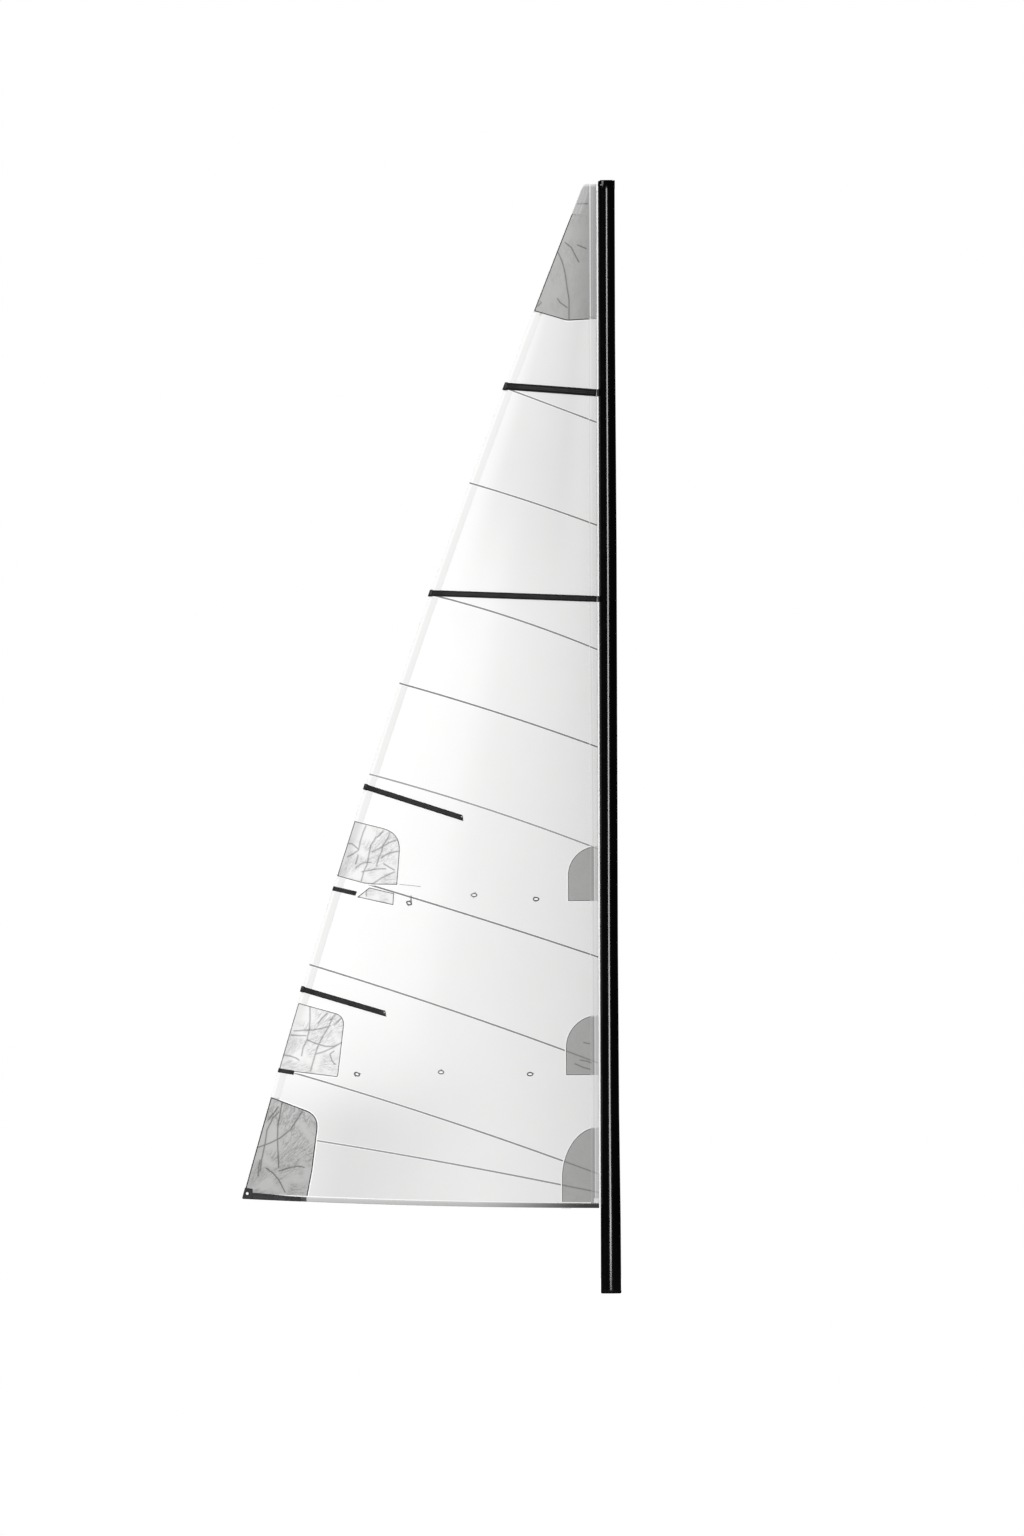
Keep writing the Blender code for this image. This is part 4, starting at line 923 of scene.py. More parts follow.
class Graph:
    """Short calls that add and join shader nodes."""

    def __init__(self, tree: bpy.types.NodeTree) -> None:
        """Keep the tree that the nodes go into."""
        self.tree = tree

    def feed(self, socket: Socket, value: object) -> None:
        """Link a socket to an output, or set its value."""
        if isinstance(value, Socket):
            self.tree.links.new(value, socket)
        else:
            socket.default_value = value

    def add(self, kind: str, feeds: Optional[dict] = None, **settings: object) -> bpy.types.Node:
        """Add a node, set its properties, then feed its inputs."""
        node = self.tree.nodes.new(kind)
        for key, value in settings.items():
            setattr(node, key, value)
        for key, value in (feeds or {}).items():
            self.feed(node.inputs[key], value)
        return node

    def math(self, operation: str, *values: object) -> Socket:
        """Add a math node and return its output."""
        return self.add("ShaderNodeMath", dict(enumerate(values)), operation=operation).outputs[0]

    def limit(self, value: object) -> Socket:
        """Keep a value between 0 and 1."""
        return self.math("MINIMUM", self.math("MAXIMUM", value, 0.0), 1.0)

    def scale(self, vector: object, factor: object) -> Socket:
        """Multiply a vector or a colour by a number."""
        return self.add("ShaderNodeVectorMath", {0: vector, "Scale": factor}, operation="SCALE").outputs[0]

    def blend(self, share: object, first: object, second: Colour) -> Socket:
        """Mix two colours and return the result."""
        feeds = {0: share, 6: first, 7: (*second, 1.0)}
        return self.add("ShaderNodeMix", feeds, data_type="RGBA").outputs[2]

    def noise(self, vector: object, scale: float, detail: float = 2.0, roughness: float = 0.5) -> Socket:
        """Add a noise texture and return its value."""
        feeds = {"Vector": vector, "Scale": scale, "Detail": detail, "Roughness": roughness}
        return self.add("ShaderNodeTexNoise", feeds).outputs["Fac"]

    def stretch(self, vector: object, scale: Colour, turn: float = 0.0) -> Socket:
        """Turn and scale a vector and return it."""
        feeds = {"Vector": vector, "Rotation": (0.0, 0.0, turn), "Scale": scale}
        return self.add("ShaderNodeMapping", feeds).outputs["Vector"]

    def attribute(self, name: str) -> Socket:
        """Value of a named attribute of the mesh."""
        return self.add("ShaderNodeAttribute", attribute_name=name).outputs["Fac"]

    def cloth(self) -> Socket:
        """Place on the flat cloth."""
        return self.add("ShaderNodeUVMap", uv_map="cloth").outputs["UV"]

    def group(self, tree: bpy.types.NodeTree, **values: object) -> bpy.types.Node:
        """Place a node group and feed its inputs."""
        return self.add("ShaderNodeGroup", values, node_tree=tree)


def new_group(name: str, inputs: dict[str, float | None], outputs: Sequence[str]) -> tuple[Graph, dict, dict]:
    """Start a node group.

    Args:
        name: its name.
        inputs: value of each input, or None for a vector.
        outputs: names of its outputs.

    Returns:
        The graph, the sockets that give the inputs, and the sockets that take the outputs.
    """
    tree = bpy.data.node_groups.new(name, "ShaderNodeTree")
    for key, value in inputs.items():
        kind = "NodeSocketVector" if value is None else "NodeSocketFloat"
        socket = tree.interface.new_socket(key, in_out="INPUT", socket_type=kind)
        if value is not None:
            socket.default_value = value
    for key in outputs:
        tree.interface.new_socket(key, in_out="OUTPUT", socket_type="NodeSocketFloat")
    graph = Graph(tree)
    given = graph.add("NodeGroupInput")
    taken = graph.add("NodeGroupOutput")
    return graph, {key: given.outputs[key] for key in inputs}, {key: taken.inputs[key] for key in outputs}


def weave_group() -> bpy.types.NodeTree:
    """Plain weave: warp over weft and weft over warp in turn."""
    graph, given, taken = new_group("weave", {"Vector": None, "Threads": 700.0}, ("Height", "Gap"))
    parts = graph.add("ShaderNodeSeparateXYZ", {0: given["Vector"]})
    turns = graph.math("MULTIPLY", given["Threads"], math.pi)
    warp = graph.math("SINE", graph.math("MULTIPLY", parts.outputs["X"], turns))
    weft = graph.math("SINE", graph.math("MULTIPLY", parts.outputs["Y"], turns))
    over = graph.math("GREATER_THAN", graph.math("MULTIPLY", warp, weft), 0.0)
    under = graph.math("SUBTRACT", 1.0, over)
    high = graph.math("MULTIPLY", graph.math("ABSOLUTE", warp), over)
    height = graph.math("MULTIPLY_ADD", graph.math("ABSOLUTE", weft), under, high)
    graph.feed(taken["Height"], height)
    graph.feed(taken["Gap"], graph.math("SUBTRACT", 1.0, graph.math("POWER", height, 0.5)))
    return graph.tree


def stitch_group() -> bpy.types.NodeTree:
    """One zigzag row of thread along an edge."""
    inputs = {"Edge": 0.0, "Run": 0.0, "Row": 0.006, "Swing": 0.0022, "Pitch": 0.0075, "Thread": 0.0005}
    graph, given, taken = new_group("stitch_row", inputs, ("Mask",))
    half = graph.math("MULTIPLY", given["Pitch"], 0.5)
    swing = graph.math("DIVIDE", graph.math("PINGPONG", given["Run"], half), half)
    side = graph.math("MULTIPLY", graph.math("MULTIPLY_ADD", swing, 2.0, -1.0), given["Swing"])
    off_row = graph.math("SUBTRACT", given["Edge"], given["Row"])
    away = graph.math("ABSOLUTE", graph.math("SUBTRACT", off_row, side))
    graph.feed(taken["Mask"], graph.math("LESS_THAN", away, given["Thread"]))
    return graph.tree


def crinkle_group() -> bpy.types.NodeTree:
    """Fine wrinkles that run out from the corner a patch is pulled at, in (turn, reach) from it, with lines
    along their valleys for painted shade.
    """
    graph, given, taken = new_group("crinkle", {"Vector": None}, ("Height", "Lines"))
    long_way = graph.stretch(given["Vector"], (52.0, 6.5, 1.0))
    short_way = graph.stretch(given["Vector"], (84.0, 15.0, 1.0), math.radians(9.0))
    fields, threads = [], []
    for way, sharpness in ((long_way, 19.0), (short_way, 22.0)):
        field = graph.noise(way, 1.0, 3.0, 0.6)
        near = graph.math("ABSOLUTE", graph.math("SUBTRACT", field, 0.5))
        wide = graph.math("MINIMUM", graph.math("MULTIPLY", near, sharpness), 1.0)
        fields.append(field)
        threads.append(graph.math("SUBTRACT", 1.0, wide))
    patchy = graph.noise(given["Vector"], 6.0, 1.0)
    shown = graph.limit(graph.math("MULTIPLY", graph.math("SUBTRACT", patchy, 0.38), 6.0))
    both = graph.math("MAXIMUM", threads[0], graph.math("MULTIPLY", threads[1], 0.7))
    lines = graph.math("MULTIPLY", both, shown)
    # Lines are the wrinkles' valleys, which the cloth finishes darken as painted shade.
    graph.feed(taken["Lines"], lines)
    soft = graph.math("MULTIPLY_ADD", fields[0], 0.6, graph.math("MULTIPLY", fields[1], 0.4))
    graph.feed(taken["Height"], graph.math("MULTIPLY_ADD", lines, -0.45, soft))
    return graph.tree


def wear_group() -> bpy.types.NodeTree:
    """Soft clouds of uneven handling."""
    graph, given, taken = new_group("wear", {"Vector": None, "Size": 1.0}, ("Clouds",))
    scaled = graph.scale(given["Vector"], given["Size"])
    graph.feed(taken["Clouds"], graph.noise(scaled, 2.2, 4.0, 0.55))
    return graph.tree


class Surface:
    """A material's shader, with its graph."""

    def __init__(self, name: str, constants: dict[str, object]) -> None:
        """Start the material and set the constants on the shader's own sockets."""
        self.material = bpy.data.materials.new(name)
        self.material.use_nodes = True
        self.graph = Graph(self.material.node_tree)
        self.shader = self.material.node_tree.nodes["Principled BSDF"]
        for key, value in constants.items():
            self.shader.inputs[key].default_value = value

    def close(self, colour: Socket, rough: Socket, height: Socket, bump: Point) -> bpy.types.Material:
        """Join colour, roughness and bumps to the shader.

        Args:
            colour: base colour.
            rough: roughness.
            height: height of the bumps.
            bump: distance and strength of the bumps.

        Returns:
            The material.
        """
        feeds = {"Height": height, "Distance": bump[0], "Strength": bump[1]}
        normal = self.graph.add("ShaderNodeBump", feeds).outputs["Normal"]
        for key, value in (("Base Color", colour), ("Roughness", rough), ("Normal", normal)):
            self.graph.feed(self.shader.inputs[key], value)
        return self.material


@dataclass(frozen=True)
class ClothFinish:
    """Woven or laminated cloth, with its weave, folds, wrinkles, stitching and wear; the gaps of its weave,
    its folds and its wrinkles are darkened as painted shade, and its tone holds painted light and shade on
    the panels, patches and foot tape.
    """

    name: str
    colour: Colour
    threads: float = 620.0
    weave_height: float = 0.25
    roughness: float = 0.62
    specular: float = 0.25
    sheen: float = 0.05
    clouding: float = 0.02
    crinkle: float = 0.0
    crinkle_shade: float = 0.0
    fold_shade: float = 0.45
    outline: float = 0.0
    outline_in: float = 0.0050
    outline_out: float = 0.0085
    rows: tuple[float, ...] = ()
    thread_colour: Colour = (0.80, 0.80, 0.79)

    def material(self, kit: "Kit") -> bpy.types.Material:
        """Build the material from the shared node groups."""
        constants = {"Specular IOR Level": self.specular, "Sheen Weight": self.sheen, "Sheen Roughness": 0.5}
        surface = Surface(self.name, constants)
        graph = surface.graph
        weave = graph.group(kit.weave, Vector=graph.cloth(), Threads=self.threads).outputs
        clouds = graph.group(kit.wear, Vector=graph.cloth()).outputs["Clouds"]
        cloud = graph.math("MULTIPLY_ADD", clouds, 2 * self.clouding, 1.0 - self.clouding)
        level = graph.math("MULTIPLY", graph.attribute("tone"), cloud)
        # The gaps between the threads are darker: painted shade.
        level = graph.math("MULTIPLY", level, graph.math("MULTIPLY_ADD", weave["Gap"], -0.07, 1.0))
        height = graph.math("MULTIPLY", weave["Height"], self.weave_height)
        if self.crinkle:
            turn = graph.math("MULTIPLY", graph.attribute("turn"), 0.35)
            fan = graph.add("ShaderNodeCombineXYZ", {"X": turn, "Y": graph.attribute("reach")})
            crinkle = graph.group(kit.crinkle, Vector=fan.outputs[0]).outputs
            # Wrinkle valleys are darkened: painted shade.
            lines = graph.math("MULTIPLY_ADD", crinkle["Lines"], -self.crinkle_shade, 1.0)
            level = graph.math("MULTIPLY", level, lines)
            height = graph.math("MULTIPLY_ADD", crinkle["Height"], self.crinkle, height)
        if self.outline:
            feeds = {"Value": graph.attribute("edge"), "To Min": 1.0 - self.outline, "To Max": 1.0}
            feeds.update({"From Min": self.outline_in, "From Max": self.outline_out})
            border = graph.add("ShaderNodeMapRange", feeds).outputs["Result"]
            level = graph.math("MULTIPLY", level, border)
        # Pressed folds are darkened: painted shade.
        fold = graph.math("MULTIPLY_ADD", graph.attribute("crease"), -self.fold_shade, 1.0)
        colour = graph.scale(self.colour, graph.math("MULTIPLY", level, fold))
        if self.rows:
            edge, run = graph.attribute("edge"), graph.attribute("run")
            mask: object = 0.0
            for row in self.rows:
                thread = graph.group(kit.stitch, Edge=edge, Run=run, Row=row).outputs["Mask"]
                mask = graph.math("MAXIMUM", thread, mask)
            colour = graph.blend(mask, colour, self.thread_colour)
            height = graph.math("MULTIPLY_ADD", mask, 1.2, height)
        rough = graph.math("MULTIPLY_ADD", clouds, 0.10, self.roughness - 0.05)
        return surface.close(colour, rough, height, (0.0005, 0.5))


@dataclass(frozen=True)
class WebbingFinish:
    """Ribbed webbing, rope or thread, paler where its ribs are rubbed, and more so where its tone holds
    painted sheen.
    """

    name: str
    colour: Colour
    rubbed: Colour
    ribs: float = 420.0
    roughness: float = 0.55
    specular: float = 0.30

    def material(self, kit: "Kit") -> bpy.types.Material:
        """Build the material from the shared node groups."""
        constants = {"Specular IOR Level": self.specular, "Sheen Weight": 0.08, "Sheen Roughness": 0.4}
        surface = Surface(self.name, constants)
        graph = surface.graph
        ribs = graph.group(kit.weave, Vector=graph.cloth(), Threads=self.ribs).outputs["Height"]
        clouds = graph.group(kit.wear, Vector=graph.cloth(), Size=4.0).outputs["Clouds"]
        rubbed = graph.math("MULTIPLY", ribs, graph.math("SUBTRACT", clouds, 0.25))
        # The tone scales the rubbed share; on the pocket sleeves it holds painted sheen.
        rubbed = graph.limit(graph.math("MULTIPLY", rubbed, graph.attribute("tone")))
        colour = graph.blend(rubbed, (*self.colour, 1.0), self.rubbed)
        rough = graph.math("MULTIPLY_ADD", clouds, 0.2, self.roughness - 0.1)
        return surface.close(colour, rough, ribs, (0.0006, 0.7))


@dataclass(frozen=True)
class HardFinish:
    """Metal or plastic, with fine lines along one axis, rubbed edges and small scratches."""

    name: str
    colour: Colour
    worn: Colour
    metallic: float
    roughness: float
    specular: float = 0.5
    grain: Colour = (300.0, 300.0, 4.0)
    grain_height: float = 0.15
    wear_amount: float = 0.08

    def material(self, kit: "Kit") -> bpy.types.Material:
        """Build the material from the shared node groups."""
        surface = Surface(self.name, {"Metallic": self.metallic, "Specular IOR Level": self.specular})
        graph = surface.graph
        place = graph.add("ShaderNodeTexCoord").outputs["Object"]
        lines = graph.noise(graph.stretch(place, self.grain), 1.0, 2.0, 0.6)
        clouds = graph.group(kit.wear, Vector=place, Size=6.0).outputs["Clouds"]
        worn = graph.limit(graph.math("MULTIPLY", graph.math("SUBTRACT", clouds, 0.5), 4.0))
        worn = graph.math("MULTIPLY", worn, self.wear_amount)
        colour = graph.blend(worn, (*self.colour, 1.0), self.worn)
        rough = graph.math("MULTIPLY_ADD", clouds, 0.08, self.roughness - 0.04)
        rough = graph.math("MULTIPLY_ADD", lines, 0.04, rough)
        return surface.close(colour, rough, lines, (0.0002, self.grain_height))


WHITE: Colour = (0.93, 0.93, 0.925)
TAPE_WHITE: Colour = (0.90, 0.90, 0.895)
PATCH_GREY: Colour = (0.435, 0.435, 0.43)
PATCH_THREAD: Colour = (0.56, 0.56, 0.55)
PATCH_ROWS = (0.0125,)
FINISHES: tuple[ClothFinish | WebbingFinish | HardFinish, ...] = (
    ClothFinish("sailcloth", WHITE),
    ClothFinish("tape_cloth", TAPE_WHITE, threads=900.0, fold_shade=0.42, rows=(0.008, 0.036, 0.068)),
    ClothFinish("foot_tape_cloth", TAPE_WHITE, threads=900.0, rows=(0.037,)),
    ClothFinish(
        "patch_cloth", PATCH_GREY, clouding=0.05, crinkle=2.0, crinkle_shade=0.08, fold_shade=0.58,
        outline=0.60, rows=PATCH_ROWS, thread_colour=PATCH_THREAD,
    ),
    ClothFinish(
        "head_patch_cloth", PATCH_GREY, clouding=0.05, crinkle=3.0, crinkle_shade=0.12, fold_shade=0.68,
        outline=0.90, outline_in=0.0075, outline_out=0.0100, rows=PATCH_ROWS, thread_colour=PATCH_THREAD,
    ),
    ClothFinish(
        "clew_patch_cloth", (0.485, 0.485, 0.48), clouding=0.03, crinkle=9.0, crinkle_shade=0.42,
        fold_shade=0.78, outline=0.95, outline_in=0.0080, outline_out=0.0105, rows=PATCH_ROWS,
        thread_colour=PATCH_THREAD,
    ),
    ClothFinish(
        "reef_patch_cloth", (0.86, 0.86, 0.855), clouding=0.03, crinkle=9.0, crinkle_shade=0.36,
        fold_shade=0.70, outline=0.80, outline_in=0.0060, outline_out=0.0090, rows=PATCH_ROWS,
        thread_colour=(0.74, 0.74, 0.73),
    ),
    ClothFinish("seam_tape", WHITE, threads=900.0),
    ClothFinish("luff_web", (0.96, 0.96, 0.955), threads=900.0),
    WebbingFinish("black_webbing", (0.003, 0.003, 0.003), (0.09, 0.09, 0.09)),
    WebbingFinish("thread", (0.32, 0.32, 0.32), (0.45, 0.45, 0.45), ribs=1500.0),
    WebbingFinish("dark_thread", (0.05, 0.05, 0.05), (0.12, 0.12, 0.12), ribs=1500.0),
    WebbingFinish("rope", (0.80, 0.80, 0.78), (0.95, 0.95, 0.93), ribs=900.0),
    HardFinish(
        "black_anodised", (0.0008, 0.0008, 0.0008), (0.002, 0.002, 0.002), metallic=0.0, roughness=0.12,
        specular=0.16, grain=(3.0, 3.0, 0.6), grain_height=0.02, wear_amount=0.3,
    ),
    HardFinish(
        "black_plastic", (0.003, 0.003, 0.003), (0.02, 0.02, 0.02), metallic=0.0, roughness=0.34,
        specular=0.12, grain=(90.0, 90.0, 90.0),
    ),
    HardFinish(
        "eyelet_metal", (0.11, 0.11, 0.115), (0.05, 0.05, 0.05), metallic=0.85, roughness=0.42,
        grain=(250.0, 250.0, 250.0), wear_amount=0.6,
    ),
    HardFinish(
        "glass_fibre", (0.72, 0.68, 0.52), (0.86, 0.84, 0.74), metallic=0.0, roughness=0.4,
        specular=0.4, grain=(6.0, 400.0, 6.0), grain_height=0.3, wear_amount=0.5,
    ),
)


class Kit:
    """The shared node groups and the finishes made from them."""

    def __init__(self) -> None:
        """Build the groups and every finish."""
        self.weave = weave_group()
        self.stitch = stitch_group()
        self.crinkle = crinkle_group()
        self.wear = wear_group()
        self.materials = {look.name: look.material(self) for look in FINISHES}

    def __getitem__(self, name: str) -> bpy.types.Material:
        """Material of a finish, by its name."""
        return self.materials[name]

    def finish(self, obj: Thing, look: str, slot: str, body: str, *nodes: str) -> None:
        """Dress a piece, put it on its body and hide the CAD nodes that it stands for.

        Args:
            obj: the piece.
            look: name of its finish.
            slot: a material slot, not used.
            body: the body that it rides on.
            nodes: CAD nodes that it replaces.
        """
        obj.data.materials.clear()
        obj.data.materials.append(self[look])
        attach(obj, body)
        if nodes:
            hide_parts(*nodes)
        LOG.info("%s: %d faces on %s", obj.name, len(obj.data.polygons), body)

    def sew(
        self, obj: Thing, look: str, slot: str, flat: Point, *nodes: str, held: str = "stretched",
        rests_on: Sequence[str] = (),
    ) -> None:
        """Dress a sheet of cloth and put it on the sail.

        Args:
            obj: the sheet.
            look: name of its finish.
            slot: a material slot, not used.
            flat: its flat width and length, not used.
            nodes: CAD nodes that it replaces.
            held: how it is held, not used.
            rests_on: pieces that it rests on, not used.
        """
        self.finish(obj, look, slot, "sail", *nodes)

    def sew_strips(
        self, name: str, u: Array, z: Array, layer: Layer, tone: Array, flat: Point, rest: Array = 0.0,
        sides: Sequence[Side] = tuple(Side),
    ) -> None:
        """Sew a narrow strip of tape on each face of the sail.

        Args:
            name: name of the strip, without its side.
            u: distances aft of the luff, by rows along the strip and columns across it.
            z: heights, in the same way.
            layer: distances between which the strip lies.
            tone: brightness of each column.
            flat: flat width and length, not used.
            rest: height of what lies under the strip.
            sides: faces of the sail that get a strip.
        """
        marks = {"tone": np.broadcast_to(tone, u.shape)}
        for side in sides:
            outer, inner = (
                np.dstack((u, z, np.broadcast_to(side.value * (rest + level), u.shape)))
                for level in (layer.high, layer.low)
            )
            obj = shell_mesh(f"{name}_{side.label}", outer, inner, marks)
            self.sew(obj, "seam_tape", "tape_cloth", flat)


# The sail's cloth


@dataclass
class Panels:
    """The eleven panels of sailcloth and the seams between them."""

    kit: Kit
    step: float = 0.025
    gap: float = 0.0001
    board_height: float = 0.168
    eyelet_hole: Point = (0.0432, 0.0232)
    length_allowance: float = 1.03
    seam_step: float = 0.012
    seam_start: float = 0.002
    seam_allowance: float = 1.06
    margin_half: float = 0.0125
    seam_tones: tuple[float, ...] = (0.36, 0.30, 0.28, 0.25, 0.38, 0.25, 0.27, 0.27, 0.30, 0.30)
    tape_stops: tuple[float, ...] = (0.70, 0.80, 0.90, 1.0, 1.02)

    def limits(self, index: int) -> tuple[Callable[[Array], Array], Callable[[Array], Array]]:
        """Lower and upper edge of a panel, as functions of the distance aft."""

        def low(u: Array) -> Array:
            """Lower edge."""
            return SAIL.foot_line(u) + EDGE_INSET if index == 0 else seam_z(index - 1, u) + self.gap

        def high(u: Array) -> Array:
            """Upper edge, which is level under the headboard."""
            top = seam_z(index, u) if index < len(SEAMS) else SAIL.head_z - self.board_height + 0.0 * u
            return top - self.gap

        return low, high

    def tone(self, u: Array, z: Array) -> Array:
        """Painted light and shade on the cloth: whiter in the after half between the reefs and the head,
        darker in the middle of the chord towards the head and from the middle aft low down, and darker aft
        just above the foot.
        """
        share = u / SAIL.leech(z)
        middle = smoothstep(1.6, 3.0, z) * (1.0 - smoothstep(5.8, 7.6, z))
        low = 1.0 - smoothstep(1.4, 2.4, z)
        high = smoothstep(5.6, 7.4, z)
        aft = smoothstep(0.47, 0.66, share)
        hollow = smoothstep(0.08, 0.30, share) * (1.0 - smoothstep(0.72, 0.93, share))
        tone = 0.945 + 0.055 * aft * middle
        tone = tone - 0.105 * hollow * high - 0.085 * hollow * low * smoothstep(0.3, 0.55, share)
        foot = 1.0 - smoothstep(1.2, 1.8, z - 0.25 * share)
        return tone - 0.10 * foot * smoothstep(0.45, 0.75, share)

    def panel(self, index: int) -> None:
        """Make one panel."""
        low, high = self.limits(index)
        rows = max(4, int(float(high(1e-3) - low(1e-3)) / self.step) + 1)
        shares = np.linspace(0.0, 1.0, rows + 1)
        lines = [lambda u, s=s: float(low(u) * (1 - s) + high(u) * s) for s in shares]
        ends = [SAIL.meet_leech(line, EDGE_INSET)[0] for line in lines]
        count = max(6, int(max(ends) / self.step) + 1)
        share, row = np.meshgrid(np.linspace(0.0, 1.0, count + 1), shares)
        u = EDGE_INSET + (np.array(ends)[:, None] - EDGE_INSET) * share
        z = low(u) * (1 - row) + high(u) * row
        flat = FlatPiece(np.column_stack((u.ravel(), z.ravel())), grid_faces(rows + 1, count + 1))
        # The cloth's tone is painted light and shade.
        marks = {"tone": self.tone(*flat.points.T)}
        obj = sheet_mesh(f"cloth_panel_{index + 1:02d}", flat, (-PANEL.high, PANEL.high), marks)
        self.cut_holes(obj, index)
        rise = math.atan(SEAMS[min(index, len(SEAMS) - 1)][1])
        across = float(np.ptp(z - math.tan(rise) * u)) * math.cos(rise)
        along = float(np.max(u) / math.cos(rise) + across * math.sin(rise)) * self.length_allowance
        node = f"sail_panel_{index + 1:02d}"
        self.kit.sew(obj, "sailcloth", "sailcloth", (across, along), node, rests_on=["luff_bolt_rope"])

    def cut_holes(self, obj: Thing, index: int) -> None:
        """Cut the holes for the eyelets and the clew ring that this panel holds."""
        low, high = self.limits(index)
        for u, height, turn in EYELETS.values():
            z = SAIL.tack_z + height
            if low(u) < z < high(u):
                punch(obj, (u, z), self.eyelet_hole, turn)
        if low(CLEW_RING[0]) < CLEW_RING[1] < high(CLEW_RING[0]):
            punch(obj)

    def seam(self, index: int) -> None:
        """Make the seam's strip on both faces: a grey line of glue and thread with pale margins."""
        end = SAIL.meet_leech(lambda u: float(seam_z(index, u)))[0] - EDGE_GAP
        even = np.linspace(self.seam_start, end, int(end / self.seam_step) + 1)
        stops = np.array(self.tape_stops)
        stations = np.unique(np.concatenate((even, LUFF_TAPE_WIDTH * stops, end - LEECH_TAPE_WIDTH * stops)))
        across = np.array([-1.0, -0.60, -0.58, 0.0, 0.58, 0.60, 1.0]) * self.margin_half
        dark = self.seam_tones[index]
        tone = (HEM_TONE, HEM_TONE, dark, dark * 0.9, dark, HEM_TONE, HEM_TONE)
        u, v = np.meshgrid(stations, across, indexing="ij")
        z = seam_z(index, u) + v
        size = (2 * self.margin_half, float(end) * self.seam_allowance)
        self.kit.sew_strips(f"seam_{index + 1:02d}", u, z, SEAM_STRIP, tone, size, self.surface(u, z))

    def surface(self, u: Array, z: Array) -> Array:
        """Height of what lies under a seam strip, which goes beneath the patches but over the tapes."""
        base = np.zeros(np.shape(u))
        covered = patch_top(u, z) > PANEL.high
        hem_top = TAPE_FLAT + TAPE_REST + TAPE.high - TAPE.low
        for inward, width in ((u, LUFF_TAPE_WIDTH), (SAIL.leech(z) - u, LEECH_TAPE_WIDTH)):
            drop = smoothstep(HEM_START * width, width, inward)
            tape = TAPE.high * (1 - drop) + hem_top * drop
            base = np.where((inward < width) & ~covered, tape, base)
        return base

    def build(self) -> None:
        """Make every panel and seam."""
        for index in range(len(SEAMS) + 1):
            self.panel(index)
        for index in range(len(SEAMS)):
            self.seam(index)


